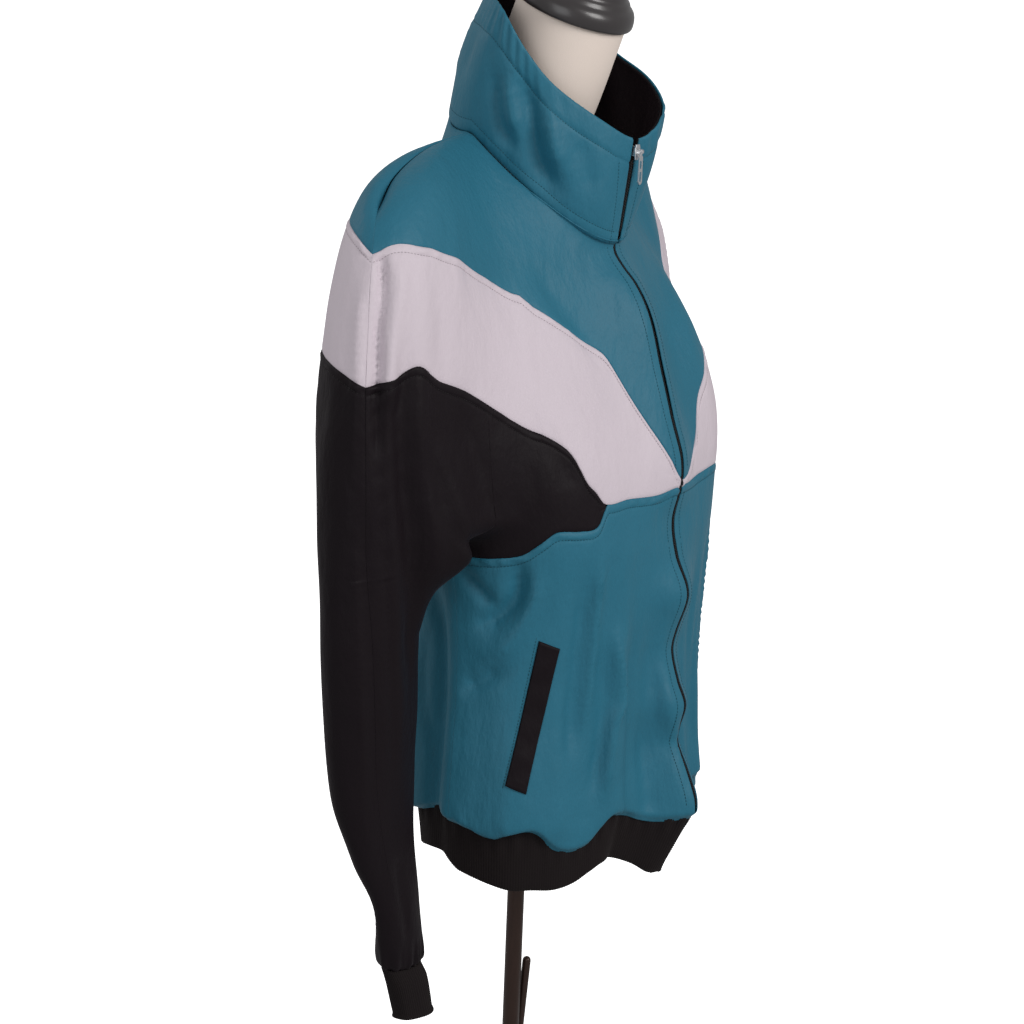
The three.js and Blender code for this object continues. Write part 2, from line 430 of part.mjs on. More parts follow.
// ---------------------------------------------------------------- hem band (rib), open at centre front
function bandPoint(turn, t) {
  // turn: -2..2, 0 centre front, +-1 sides, +-2 centre back; right is negative. t: 0 top .. 1 lower edge
  const side = turn < 0 ? 1 : -1, w = Math.abs(turn), back = w > 1, s = back ? 2 - w : w;
  const z = lerp(table(back ? HEM_BACK : HEM_FRONT, 1, s), table(back ? BAND_BACK : BAND_FRONT, 1, s), t) + (1 - t) * 6;
  const base = torsoSection(s, 396, back);
  const f = 1 - 0.045 - 0.025 * t;
  let x = base[0] * f, y = -32 + (base[1] + 32) * f;
  if (!back) {
    const cf = lerp(-181, -150, t ** 1.1);
    y += (cf - (-32 + (torsoSection(0, 396, false)[1] + 32) * f)) * Math.exp(-((x / 30) ** 2));
    y += 13 * t * Math.exp(-(((x + 52 * side) / 20) ** 2));
  }
  return place([x, y, z], side);
}
{
  const turns = [];
  for (const w of [0.0155, 0.07, 0.13, 0.2, 0.27, 0.335, 0.39, 0.46, 0.53, 0.6, 0.7, 0.8, 0.9, 1, 1.14, 1.28, 1.42, 1.56, 1.72, 1.86]) turns.push(w);
  const all = [...turns.map((w) => -w), -2, ...[...turns].reverse()];
  const P = [], N = [];
  for (const u of all) {
    const a = [], b = [];
    for (const t of [0, 0.12, 0.55, 1]) {
      const uu = clamp(u, -1.997, 1.997);
      const n = normalAt(bandPoint, Math.abs(uu) < 0.006 ? 0.006 : uu, clamp(t, 0.02, 0.98), 0.004, 0.02, [0, -32, 360]);
      a.push(bandPoint(u, t)); b.push(u === -2 ? [0, 1, 0] : n);
    }
    P.push(a); N.push(b);
  }
  add('hem_band', wall(P, N, RIB), RIBBLACK);
}

// ---------------------------------------------------------------- cuffs (rib tubes)
for (const [tag, side] of [['right', 1], ['left', -1]]) {
  const n = 12, P = [], N = [];
  const f = (turn, z) => place([table(SLEEVE, 1, z) + table(SLEEVE, 3, z) * Math.cos(turn), table(SLEEVE, 2, z) - table(SLEEVE, 4, z) * Math.sin(turn), z], side);
  for (let i = 0; i < n; i++) {
    const a = [], b = [], turn = (i / n) * 2 * Math.PI;
    for (const z of [CUFF_Z - 0.8, 272, 256, CUFF_END_Z]) {
      const nrm = normalAt(f, turn, clamp(z, CUFF_END_Z + 1, CUFF_Z - 1), 0.01, 1, place([table(SLEEVE, 1, z), table(SLEEVE, 2, z), z], side));
      a.push(f(turn, z)); b.push(nrm);
    }
    P.push(a); N.push(b);
  }
  add(`cuff_${tag}`, wall(P, N, RIB, () => true, true), RIBBLACK);
}

// ---------------------------------------------------------------- stand collar and its black inside
function collarPoint(turn, t, inset = 0) {
  const w = Math.abs(turn) / 180, side = turn <= 0 ? 1 : -1;
  // base line: front neckline 0..NECK_SHARE, then the back neckline
  const front = w < 0.56;
  const s = front ? NECK_SHARE * w / 0.56 : NECK_SHARE * (1 - w) / 0.44;
  const b = mirror(topLine(clamp(s, 0, NECK_SHARE), !front), side);
  const top = [1, 2, 3].map((c) => table(COLLAR_TOP, c, turn));
  const bulge = 5 * Math.sin(Math.PI * t) * ramp(0, 25, Math.abs(turn));
  const p = [0, 1, 2].map((c) => lerp(b[c], top[c], t));
  const r = Math.hypot(p[0], p[1] + 5) || 1;
  p[0] += bulge * p[0] / r; p[1] += bulge * (p[1] + 5) / r;
  p[2] += 1.1 * (1 - ramp(0, 0.2, t));
  return place(p, 1);
}
function collarWall(t0, t1, nt, inset, thickness, edge) {
  const half = [edge, 10, 20, 32, 46, 62, 80, 100.8, 116, 134, 154];
  const turns = [...half.map((a) => -a), -180, ...[...half].reverse()];
  const P = [], N = [];
  for (const a of turns) {
    const p = [], n = [];
    for (const t of range(t0, t1, nt)) {
      const at = clamp(a, -178.5, 178.5), tt = clamp(t, 0.06, 0.97);
      let nn = normalAt(collarPoint, Math.abs(at) < 1.6 ? Math.sign(at || 1) * 1.6 : at, tt, 1.2, 0.02, [0, -5, lerp(960, 1070, t)]);
      if (a === -180) nn = unit([0, nn[1], nn[2]]);
      const c = collarPoint(a, t);
      p.push(c.map((x, k) => x - nn[k] * inset)); n.push(nn);
    }
    P.push(p); N.push(n);
  }
  return wall(P, N, thickness);
}
add('collar', collarWall(0, 1, 4, 0, COLLAR_WALL, 2.3), TEAL);
add('collar_facing', collarWall(0.06, 0.985, 3, COLLAR_WALL + 4 * SEAM, 1.2, 2.6), BLACK);


// ---------------------------------------------------------------- zip: two tapes, the coil, slider and pull tab
function zipRow(x, side, depth, collar) {
  // points at distance x from centre front, moved inward, on the same rows as the cloth in front of them
  const rows = [];
  const put = (p, n, d) => rows.push({ p: p.map((c, k) => c - n[k] * d), n });
  const turn = -(x / 274) * side;
  for (const t of [1, 0.7, 0.4, 0.12, 0]) {
    const n = normalAt(bandPoint, turn, clamp(t, 0.05, 0.95), 0.004, 0.02, [0, -32, 360]);
    put(bandPoint(turn, t), n, depth + RIB - CLOTH + (depth > 1 ? 1 : 0.2));
  }
  const top = side > 0 ? FT : FTL;
  const rest = [...bodyRows(0.02).slice(1, -1), ...panelRows(CF0, FL, top, BAND_ROWS).slice(1, 3), ...panelRows(CF0, top, () => TOP_V, YOKE_ROWS).slice(0, -1)];
  for (const v of rest) {
    const r = panelPoint(stepS(0, v, false, false, x), v, false, side, false);
    put(r.p, r.n, depth);
  }
  if (collar) for (const t of [0.12, 0.4, 0.6, 0.77]) {
    const a = -(x / 88) / RAD * side;
    const n = normalAt(collarPoint, Math.sign(a) * 1.8, clamp(t, 0.06, 0.94), 1.2, 0.02, [0, -5, 990]);
    put(collarPoint(a, t), n, depth + 0.2);
  }
  return rows;
}
for (const [tag, side] of [['right', 1], ['left', -1]]) {
  // inside the collar the facing covers the tape, so the tape ends at the neckline there
  const cols = [3, 10].map((x) => zipRow(x, side, CLOTH + 0.9, false));
  add(`zip_tape_${tag}`, wall(cols.map((c) => c.map((r) => r.p)), cols.map((c) => c.map((r) => r.n)), 0.8), BLACK);
}
{
  const P = [1, -1].map((side) => zipRow(1.8, side, 0.2, true).map((r) => r.p)), N = P.map((c) => c.map(() => [0, -1, 0]));
  add('zip_coil', wall(P, N, 1.5), RIBBLACK);
}
function solid(geometry, place) {
  let g = geometry.clone();
  for (const name of ['normal', 'uv']) g.deleteAttribute(name);
  g = BufferGeometryUtils.mergeVertices(g, 1e-4);
  if (place) g.applyMatrix4(place);
  return new wasm.Manifold(new wasm.Mesh({
    numProp: 3, vertProperties: Float32Array.from(g.attributes.position.array), triVerts: Uint32Array.from(g.index.array),
  }));
}
function toGeometry(m) {
  const mesh = m.getMesh(), g = new THREE.BufferGeometry();
  g.setAttribute('position', new THREE.BufferAttribute(mesh.vertProperties, 3));
  g.setIndex(new THREE.BufferAttribute(mesh.triVerts, 1));
  return g;
}
const at = (x, y, z, rx = 0, ry = 0, rz = 0) => new THREE.Matrix4().compose(
  new THREE.Vector3(x, y, z), new THREE.Quaternion().setFromEuler(new THREE.Euler(rx, ry, rz)), new THREE.Vector3(1, 1, 1));
const rodX = (r, length, n = 16) => { const g = new THREE.CylinderGeometry(r, r, length, n); g.rotateZ(Math.PI / 2); return g; };
// plate in the XZ plane: an outline extruded along Y, its front at y = -depth
function plate(outline, depth, holes = []) {
  const shape = new THREE.Shape(outline.map(([x, z]) => new THREE.Vector2(x, z)));
  for (const h of holes) shape.holes.push(new THREE.Path(h.map(([x, z]) => new THREE.Vector2(x, z))));
  const g = new THREE.ExtrudeGeometry(shape, { depth, bevelEnabled: false });
  g.rotateX(Math.PI / 2);
  return g;
}
{
  const face = [[-3.2, -7], [3.2, -7], [4.3, -2], [4.3, 3], [3, 6.5], [-3, 6.5], [-4.3, 3], [-4.3, -2]];
  let m = solid(plate(face, 1.6), at(0, PIN.y + 4.4, PIN.z - 0.5));
  m = m.add(solid(new THREE.BoxGeometry(3.4, 6, 9), at(0, PIN.y + 6.4, PIN.z)));
  for (const x of [-2.6, 2.6]) m = m.add(solid(new THREE.BoxGeometry(1, 4.6, 3.4), at(x, PIN.y + 1.2, PIN.z)));
  m = m.add(solid(rodX(PIN.r, 5.6), at(0, PIN.y, PIN.z)));
  add('zip_slider', toGeometry(m), METAL);
  const w = TAB.width / 2, L = TAB.length;
  const tab = [[-1.7, 1.6], [-1.7, -3.4], [-w, -5], [-w, -L + 2.2], [-w + 1.6, -L], [w - 1.6, -L], [w, -L + 2.2], [w, -5], [1.7, -3.4], [1.7, 1.6]];
  const slot = (z0, z1) => [[-w + 1.5, z0], [-w + 1.5, z1], [w - 1.5, z1], [w - 1.5, z0]];
  let t = solid(plate(tab, TAB.wall, [slot(-15, -8), slot(-L + 2.6, -18)]), at(0, TAB.wall / 2, 0));
  t = t.add(solid(rodX(2.3, 3.4, 20)));
  t = t.subtract(solid(rodX(PIN.r + 0.5, 8, 20)));
  add('zip_pull', toGeometry(t.translate([0, PIN.y, PIN.z])), METAL);
}

// ---------------------------------------------------------------- dress form
function rings(list) {
  const n = list[0].length, pos = [], tri = [];
  for (const r of list) for (const p of r) pos.push(...p);
  for (let k = 0; k < list.length - 1; k++) for (let i = 0; i < n; i++) {
    const a = k * n + i, b = k * n + (i + 1) % n, c = a + n, d = b + n;
    tri.push(a, b, d, a, d, c);
  }
  for (const [k, flip] of [[0, true], [list.length - 1, false]]) {
    const mid = pos.length / 3, r = list[k];
    pos.push(...[0, 1, 2].map((c) => r.reduce((x, p) => x + p[c], 0) / n));
    for (let i = 0; i < n; i++) {
      const a = k * n + i, b = k * n + (i + 1) % n;
      tri.push(mid, flip ? b : a, flip ? a : b);
    }
  }
  return closed(pos, tri);
}
const around = (n) => range(0, 2 * Math.PI, n).slice(0, n);
{
  const trunk = rings(FORM.map(([z, a, yf, yb]) => around(28).map((t) => [a * Math.sin(t), (yf + yb) / 2 - ((yb - yf) / 2) * Math.cos(t), z])));
  const stub = rings(NECK_STUB.map(([z, y, r]) => around(28).map((t) => [r * Math.sin(t), y - r * Math.cos(t), z])));
  add('form_torso', toGeometry(solid(trunk).add(solid(stub))), LINEN);
}
{
  const { y, z, topY, topZ, r } = NECK_FORM, lean = Math.atan2(y - topY, topZ - z);
  const ring = (t, rr, tilt) => around(28).map((a) => {
    const dy = rr * Math.cos(a);
    return [rr * Math.sin(a), lerp(y, topY, t) + dy * Math.cos(tilt), lerp(z, topZ, t) + dy * Math.sin(tilt)];
  });
  add('form_neck', rings([ring(0, r + 1, 0), ring(0.35, r, lean * 0.5), ring(1, r - 1, lean)]), LINEN);
  const cap = new THREE.LatheGeometry([[0, 0.4], [51, 0.4], [53.5, 0.6], [55, 2.6], [54.6, 9], [52, 16], [47.5, 19.5], [43.5, 24], [41, 30], [33, 35], [16, 38], [0, 38.6]]
    .map(([a, b]) => new THREE.Vector2(a, b)), 28);
  cap.rotateX(Math.PI / 2);
  cap.applyMatrix4(at(0, topY, topZ, lean, 0, 0));
  add('neck_cap', toGeometry(solid(cap)), CAP);
}

// ---------------------------------------------------------------- pole, hub, legs and feet
{
  const pole = new THREE.CylinderGeometry(POLE_R, POLE_R, 401.6 - 96, 24);
  pole.rotateX(Math.PI / 2);
  add('pole', pole, STEEL).position.set(0, 0, (401.6 + 96) / 2);
  const { turns, hubZ, hubR, hubH, footR, rod, topR, topZ, footZ } = TRIPOD;
  const bar = (from, to, r) => {
    const a = new THREE.Vector3(...from), b = new THREE.Vector3(...to), d = b.clone().sub(a), length = d.length();
    const g = new THREE.CapsuleGeometry(r, length, 4, 16);
    g.rotateX(Math.PI / 2);
    const turn = new THREE.Quaternion().setFromUnitVectors(new THREE.Vector3(0, 0, 1), d.normalize());
    return solid(g, new THREE.Matrix4().compose(a.lerp(b, 0.5), turn, new THREE.Vector3(1, 1, 1)));
  };
  const sideRod = (grow) => bar(SIDE_ROD.low, SIDE_ROD.high, SIDE_ROD.r + grow);
  const legs = turns.map((deg) => {
    const c = Math.cos(deg * RAD), s = Math.sin(deg * RAD), end = { x: footR * c, y: footR * s };
    return { end, make: (grow) => bar([topR * c, topR * s, topZ], [end.x, end.y, footZ], rod + grow) };
  });
  const ring = new THREE.LatheGeometry([[POLE_R + 0.4, -hubH / 2], [hubR - 2, -hubH / 2], [hubR, -hubH / 2 + 2], [hubR, hubH / 2 - 2], [hubR - 2, hubH / 2], [POLE_R + 0.4, hubH / 2], [POLE_R + 0.4, -hubH / 2]]
    .map(([x, z]) => new THREE.Vector2(x, z)), 28);
  ring.rotateX(Math.PI / 2);
  let hub = solid(ring, at(0, 0, hubZ));
  legs.forEach(({ end, make }, k) => {
    add(`leg_${k + 1}`, toGeometry(make(0)), STEEL);
    const grown = make(0.35);
    hub = hub.subtract(grown);
    const foot = new THREE.CylinderGeometry(11, 13, 20, 20);
    foot.rotateX(Math.PI / 2);
    add(`foot_${k + 1}`, toGeometry(solid(foot, at(end.x, end.y, 10)).subtract(grown)), RIBBLACK);
  });
  hub = hub.subtract(sideRod(0.35));
  add('hub', toGeometry(hub), STEEL);
  add('side_rod', toGeometry(sideRod(0)), STEEL);
}

export default object;
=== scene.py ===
# Track jacket on a limbless dress form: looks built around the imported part.
import math

import bpy
import numpy as np
from mathutils import Matrix, Vector


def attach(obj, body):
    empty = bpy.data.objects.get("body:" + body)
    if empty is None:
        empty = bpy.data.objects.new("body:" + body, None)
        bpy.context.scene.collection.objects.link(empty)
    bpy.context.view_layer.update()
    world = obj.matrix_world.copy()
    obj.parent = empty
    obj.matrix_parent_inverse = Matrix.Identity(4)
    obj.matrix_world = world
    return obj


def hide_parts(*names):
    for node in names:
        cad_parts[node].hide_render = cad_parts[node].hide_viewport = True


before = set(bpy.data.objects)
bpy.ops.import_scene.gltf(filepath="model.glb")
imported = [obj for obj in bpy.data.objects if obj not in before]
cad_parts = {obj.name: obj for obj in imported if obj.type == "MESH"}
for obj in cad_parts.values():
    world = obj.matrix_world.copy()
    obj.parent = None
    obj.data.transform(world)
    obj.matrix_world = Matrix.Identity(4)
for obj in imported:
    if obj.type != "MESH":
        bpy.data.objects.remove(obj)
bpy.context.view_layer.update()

SEAM = 0.3
UNDERARM_Z, CUFF_Z, CUFF_END_Z = 650.0, 284.0, 238.0
NECK_SHARE, ZIP_HALF = 0.55, 2.7
WELT = dict(s0=0.535, s1=0.622, z0=446, z1=574.5, lean=0.115)
# torso sections:   z, halfWidth, frontY, backY, sideY, square
TORSO = [
    (392, 174, -150, 62, -32, 0.03), (410, 178, -153, 68, -31, 0.03), (450, 176, -150, 66, -30, 0.03),
    (520, 168, -146, 66, -28, 0.03), (600, 166, -146, 74, -24, 0.04), (665, 174, -150, 86, -18, 0.05),
    (740, 184, -148, 104, -8, 0.06), (820, 190, -128, 118, 6, 0.06), (900, 190, -100, 122, 20, 0.06),
    (1000, 180, -80, 118, 30, 0.05)]
# sleeve sections:  z, centreX, centreY, radiusX, radiusY
SLEEVE = [
    (226, -207, -22, 23, 13), (268, -213, -15.5, 24, 14.2), (284, -216, -10.5, 27, 15), (300, -218, -9, 29, 16.4),
    (345, -227, -9.3, 31, 15), (390, -237, -2.3, 41, 18.5), (450, -246, 5.5, 51, 27.8), (520, -252, 6.6, 54.5, 32.4),
    (600, -256, 6.6, 56, 35), (665, -256, 7, 58, 39), (740, -254, 7, 59, 47), (820, -251, 6, 60, 54),
    (900, -246, 8, 60, 60), (1000, -240, 12, 60, 64)]
DRAPE = [(589, 0), (628, 13), (650, 34), (664, 46), (690, 44), (740, 18), (800, 0)]        # z, reach
OVERARM = [(226, 125), (400, 120), (450, 122), (520, 125), (600, 131), (665, 141), (740, 150), (820, 158), (1000, 165)]  # z, degrees
# centre front:  z, y
CENTRE = [
    (399, -186), (415, -185), (438, -176), (464, -163), (478, -164), (501, -170), (522, -161), (549, -153),
    (567, -156), (597, -166), (611, -165), (637, -153), (668, -148), (697, -155), (711, -157), (730, -156),
    (763, -146), (804, -135), (837, -126.5), (859, -118), (878, -106), (890, -93.5), (904, -81.5), (921, -77.5)]
SHOULDER = [(0, -78, 32, 1006), (0.35, -125, 36, 1000), (0.65, -168, 34, 990), (0.85, -205, 30, 975), (1, -232, 24, 955)]  # share, x, y, z
NECK = dict(x=-78, y=32, z=1006, frontY=-79, frontZ=912, backY=84, backZ=1032)
# colour seams:  s, v
FRONT_TOP = [(0, 0.262), (0.03, 0.28), (0.065, 0.323), (0.105, 0.375), (0.14, 0.42), (0.19, 0.492), (0.25, 0.508), (0.355, 0.515),
             (0.455, 0.516), (0.645, 0.504), (0.905, 0.503), (1.105, 0.512), (1.395, 0.535), (1.61, 0.578), (1.83, 0.64), (2, 0.665)]
FRONT_TOP_LEFT = [(0, 0.262), (0.03, 0.258), (0.06, 0.257), (0.09, 0.264), (0.125, 0.296), (0.155, 0.338), (0.19, 0.365), (0.25, 0.38), (0.33, 0.392),
                  (0.45, 0.412), (0.645, 0.442), (0.905, 0.475), (1.105, 0.5), (1.395, 0.53), (1.61, 0.575), (1.83, 0.64), (2, 0.665)]
FRONT_LOW = [(0, 0.238), (0.025, 0.24), (0.105, 0.212), (0.245, 0.186), (0.35, 0.163), (0.385, 0.185), (0.415, 0.2), (0.445, 0.24),
             (0.47, 0.256), (0.535, 0.266), (0.68, 0.265), (0.815, 0.263), (1.105, 0.263), (1.42, 0.264), (1.57, 0.283), (1.68, 0.31), (1.8, 0.3), (2, 0.303)]
FRONT_CHEST = [(0.35, 0.155), (0.39, 0.105), (0.46, 0.089), (0.545, 0.08), (0.61, 0.052), (0.69, 0.018), (0.77, 0.007), (0.86, 0.001), (1, 0)]
BACK_TOP = [(0, 0.3), (0.1, 0.33), (0.3, 0.42), (0.6, 0.5), (1, 0.56), (1.4, 0.62), (1.75, 0.66), (2, 0.665)]
BACK_LOW = [(0, 0.15), (0.12, 0.16), (0.35, 0.215), (0.6, 0.265), (1, 0.29), (1.4, 0.31), (1.75, 0.315), (2, 0.303)]
BACK_CHEST = [(0.3, 0.195), (0.36, 0.14), (0.45, 0.09), (0.6, 0.05), (0.8, 0.012), (1, 0)]
TIP = {False: 0.35, True: 0.3}
# lower edge of the teal, then of the hem band:  s, z
HEM_FRONT = [(0, 396), (0.1, 396), (0.16, 400), (0.23, 407), (0.295, 408), (0.335, 396), (0.37, 387), (0.42, 382), (0.48, 382), (0.54, 388), (0.585, 399), (0.63, 403), (0.7, 400), (0.79, 394), (0.85, 397), (0.93, 404), (1, 407)]
HEM_BACK = [(0, 398), (0.2, 393), (0.35, 400), (0.5, 406), (0.62, 402), (0.8, 412), (0.9, 411), (1, 407)]
BAND_FRONT = [(0, 338), (0.06, 341), (0.12, 352), (0.2, 361), (0.3, 363), (0.36, 358), (0.43, 350), (0.52, 346), (0.62, 347), (0.72, 347), (0.82, 351), (0.92, 356), (1, 360)]
BAND_BACK = [(0, 352), (0.25, 350), (0.5, 362), (0.7, 371), (0.85, 371), (1, 360)]
# long vertical folds:  s, width, depth, zTop, zFull
FOLDS = [(0.115, 0.06, -13, 640, 430), (0.27, 0.05, 5, 690, 560), (0.215, 0.03, -4, 640, 540), (0.42, 0.08, -5, 600, 470), (0.72, 0.09, 5, 560, 430)]
BACK_FOLDS = [(0.84, 0.07, -12, 650, 560), (0.6, 0.1, 5, 620, 480), (0.3, 0.1, -6, 600, 440), (0.1, 0.08, 4, 620, 470)]
# collar's top edge:  turn (degrees from centre front, right is negative), x, y, z
COLLAR_TOP = [
    (-180, 0, 50, 1126), (-150, -36, 44, 1126), (-120, -64, 22, 1124), (-90, -80, 0, 1112), (-62, -76, -22, 1080),
    (-40, -60, -44, 1050), (-20, -31, -74, 1022), (0, 0, -92, 1005), (20, 31, -97, 1016), (40, 57, -88, 1032),
    (62, 78, -62, 1050), (90, 86, -26, 1068), (120, 78, 10, 1092), (150, 46, 38, 1112), (180, 0, 50, 1126)]


# ---------------------------------------------------------------- interpolation
def table(rows, col, at):
    """smooth curve through a table's rows"""
    x = np.array([r[0] for r in rows], float)
    y = np.array([r[col] for r in rows], float)
    at = np.clip(np.asarray(at, float), x[0], x[-1])
    n = len(x)
    m = np.empty(n)
    m[1:-1] = (y[2:] - y[:-2]) / (x[2:] - x[:-2])
    m[0] = (y[1] - y[0]) / (x[1] - x[0])
    m[-1] = (y[-1] - y[-2]) / (x[-1] - x[-2])
    i = np.clip(np.searchsorted(x, at) - 1, 0, n - 2)
    h = x[i + 1] - x[i]
    t = (at - x[i]) / h
    return (2 * t**3 - 3 * t * t + 1) * y[i] + (t**3 - 2 * t * t + t) * h * m[i] + (-2 * t**3 + 3 * t * t) * y[i + 1] + (t**3 - t * t) * h * m[i + 1]


def ramp(a, b, x):
    t = np.clip((np.asarray(x, float) - a) / (b - a), 0, 1)
    return t * t * (3 - 2 * t)


# the left arm hangs further back than the right one, its forearm swings back, and the left chest stands fuller
LEFT = dict(back=48, start=150, end=240, chest=26, x=95, width=52, z=808, height=92, drawn=.07, swing=60)


def share(a, b, x):
    t = np.clip((x - a) / (b - a), 0, 1)
    return t * t * (3 - 2 * t)


def drawn(s, v):
    """where a station of the left front lies round the body"""
    return s + LEFT['drawn'] * ramp(.02, .14, s) * (1 - ramp(.5, .97, s)) * np.where(v >= 0, 1, ramp(-60, -5, v))


def place(P, side=1):
    """points of the right half set on their side of the garment; side 1 keeps them where they are"""
    P = np.array(P, float) * [side, 1, 1]
    x, y, z = P[..., 0], P[..., 1], P[..., 2]
    apart, low = 1 - ramp(560, 680, z), 1 - ramp(300, 336, z)
    arm = share(LEFT['start'] + 31 * apart - 31 * low, LEFT['end'] - 50 * apart - 10 * low, x) * (
        LEFT['back'] * (1 - .25 * ramp(900, 1010, z)) + LEFT['swing'] * (1 - ramp(290, 600, z)))
    chest = LEFT['chest'] * np.exp(-((x - LEFT['x']) / LEFT['width']) ** 2 - ((z - LEFT['z']) / LEFT['height']) ** 2) * (1 - ramp(-60, 20, y))
    P[..., 1] = y + np.where(x > 0, arm - chest, 0)
    return P


# ---------------------------------------------------------------- the garment's surface (wearer's right half)
def torso_section(s, z, back, plain=False):
    a = table(TORSO, 1, z)
    end = table(TORSO, 3 if back else 2, z)
    side = table(TORSO, 4, z)
    ph = s * np.pi / 2
    k = 1 + table(TORSO, 5, z) * np.sin(2 * ph) ** 2
    out = 0.0 * z
    if not plain:
        for fs, w, depth, top, full in (BACK_FOLDS if back else FOLDS):
            out = out + depth * np.exp(-(((s - fs) / w) ** 2)) * (1 - ramp(full, top, z)) * ramp(385, 415, z)
    x = -a * np.sin(ph) * k
    y = side + (end - side) * np.cos(ph) * k
    nx = x
    ny = (y - side) * (a / np.maximum(np.abs(end - side), 1)) ** 2
    n = np.hypot(nx, ny)
    n = np.where(n < 1e-9, 1, n)
    return x + out * nx / n, y + out * ny / n


def sleeve_section(s, z, back):
    over = np.radians(table(OVERARM, 1, z))
    turn = -s * (2 * np.pi - over) if back else s * over
    fold = 0.0 if back else table(DRAPE, 1, z) * np.exp(-(((turn - np.radians(62)) / np.radians(28)) ** 2))
    return (table(SLEEVE, 1, z) + table(SLEEVE, 3, z) * np.cos(turn) + 0.5 * fold,
            table(SLEEVE, 2, z) - table(SLEEVE, 4, z) * np.sin(turn) - 0.866 * fold)


def top_line(s, back):
    th = np.clip(s / NECK_SHARE, 0, 1) * np.pi / 2
    ey, ez = (NECK['backY'], NECK['backZ']) if back else (NECK['frontY'], NECK['frontZ'])
    ny = NECK['y'] + (ey - NECK['y']) * np.cos(th)
    nz = NECK['z'] + (ez - NECK['z']) * (1 - np.sin(th)) if back else ez + (NECK['z'] - ez) * (ny - ey) / (NECK['y'] - ey)
    g = np.clip((s - NECK_SHARE) / (2 - NECK_SHARE), 0, 1)
    m = s <= NECK_SHARE
    return [np.where(m, NECK['x'] * np.sin(th), table(SHOULDER, 1, g)),
            np.where(m, ny, table(SHOULDER, 2, g)), np.where(m, nz, table(SHOULDER, 3, g))]


def top_guide(s, back):
    out = [0.0, 0.0, 0.0]
    for k in range(-3, 4):
        a = s + k * 0.1 * np.minimum(1, (2 - s) / 0.3)
        p = top_line(np.abs(a), back)
        p[0] = np.where(a < 0, -p[0], p[0])
        out = [o + q / 7 for o, q in zip(out, p)]
    return out


def surface(s, v, back=False, arm=None):
    """s 0 centre .. 1 side | 1+ underarm seam .. 2 overarm;  v < 0 millimetres below the underarm, 0..1 up to the top line"""
    s, v = np.broadcast_arrays(np.asarray(s, float), np.asarray(v, float))
    arm = (s > 1) if arm is None else np.broadcast_to(np.asarray(arm, bool), s.shape)
    g, e = top_guide(s, back), top_line(s, back)
    vc = np.clip(v, 0, 1)
    q = vc**3
    t = [a + (b - a) * q for a, b in zip(g, e)]
    m = np.where(s < NECK_SHARE, 1.15 + 0.5 * s / NECK_SHARE, 1.65 + 0.9 * ramp(NECK_SHARE, 1.6, s))
    al = vc * np.pi / 2
    w = np.clip(np.cos(al), 0, 1) ** (2 / m)
    h = np.sin(al) ** (2 / m)
    z = np.where(v < 0, UNDERARM_Z + v, UNDERARM_Z + (t[2] - UNDERARM_Z) * h)
    bx, by = torso_section(np.clip(s, 0, 1), z, back)
    ax, ay = sleeve_section(np.clip(s - 1, 0, 1), z, back)
    x, y = np.where(arm, ax, bx), np.where(arm, ay, by)
    s0, s1 = 0.64 - 0.2 * ramp(UNDERARM_Z, 900, z), 1.6
    A, A2 = torso_section(s0, z, back), torso_section(s0 - 1e-3, z, back)
    B, B2 = sleeve_section(s1 - 1 + 0 * z, z, back), sleeve_section(s1 - 1 + 1e-3 + 0 * z, z, back)
    L = 0.9 * np.hypot(B[0] - A[0], B[1] - A[1])
    na, nb = np.hypot(A[0] - A2[0], A[1] - A2[1]), np.hypot(B2[0] - B[0], B2[1] - B[1])
    u = np.clip((s - s0) / (s1 - s0), 0, 1)
    c = [2 * u**3 - 3 * u * u + 1, u**3 - 2 * u * u + u, -2 * u**3 + 3 * u * u, u**3 - u * u]
    up = np.where((v >= 0) & (s > s0) & (s < s1), ramp(0, 60 if back else 38, z - UNDERARM_Z), 0)
    mix = [c[0] * A[k] + c[1] * L * (A[k] - A2[k]) / na + c[2] * B[k] + c[3] * L * (B2[k] - B[k]) / nb for k in (0, 1)]
    x, y = x + (mix[0] - x) * up, y + (mix[1] - y) * up
    w = np.where(v < 0, 1, w)
    x, y = t[0] + (x - t[0]) * w, t[1] + (y - t[1]) * w
    if not back:
        flat = NECK['frontY'] + (table(TORSO, 2, z) - NECK['frontY']) * w
        y = y + np.where(arm, 0, (table(CENTRE, 1, z) - flat) * np.exp(-((x / 34) ** 2)))
    return np.stack([x, y, z], -1)


def band_point(w, t, back):
    """hem band: w 0 centre .. 1 side, t 0 top .. 1 lower edge"""
    z = (1 - t) * table(HEM_BACK if back else HEM_FRONT, 1, w) + t * table(BAND_BACK if back else BAND_FRONT, 1, w) + (1 - t) * 6
    bx, by = torso_section(w, 396 + 0 * w, back)
    f = 1 - 0.045 - 0.025 * t
    x, y = bx * f, -32 + (by + 32) * f
    if not back:
        y0 = -32 + (torso_section(np.zeros(1), np.full(1, 396.0), False)[1][0] + 32) * f
        cf = -181 + 31 * t**1.1
        y = y + (cf - y0) * np.exp(-((x / 30) ** 2))
        y = y + 13 * t * np.exp(-(((x + 52) / 20) ** 2))
    return np.stack([x, y, z], -1)


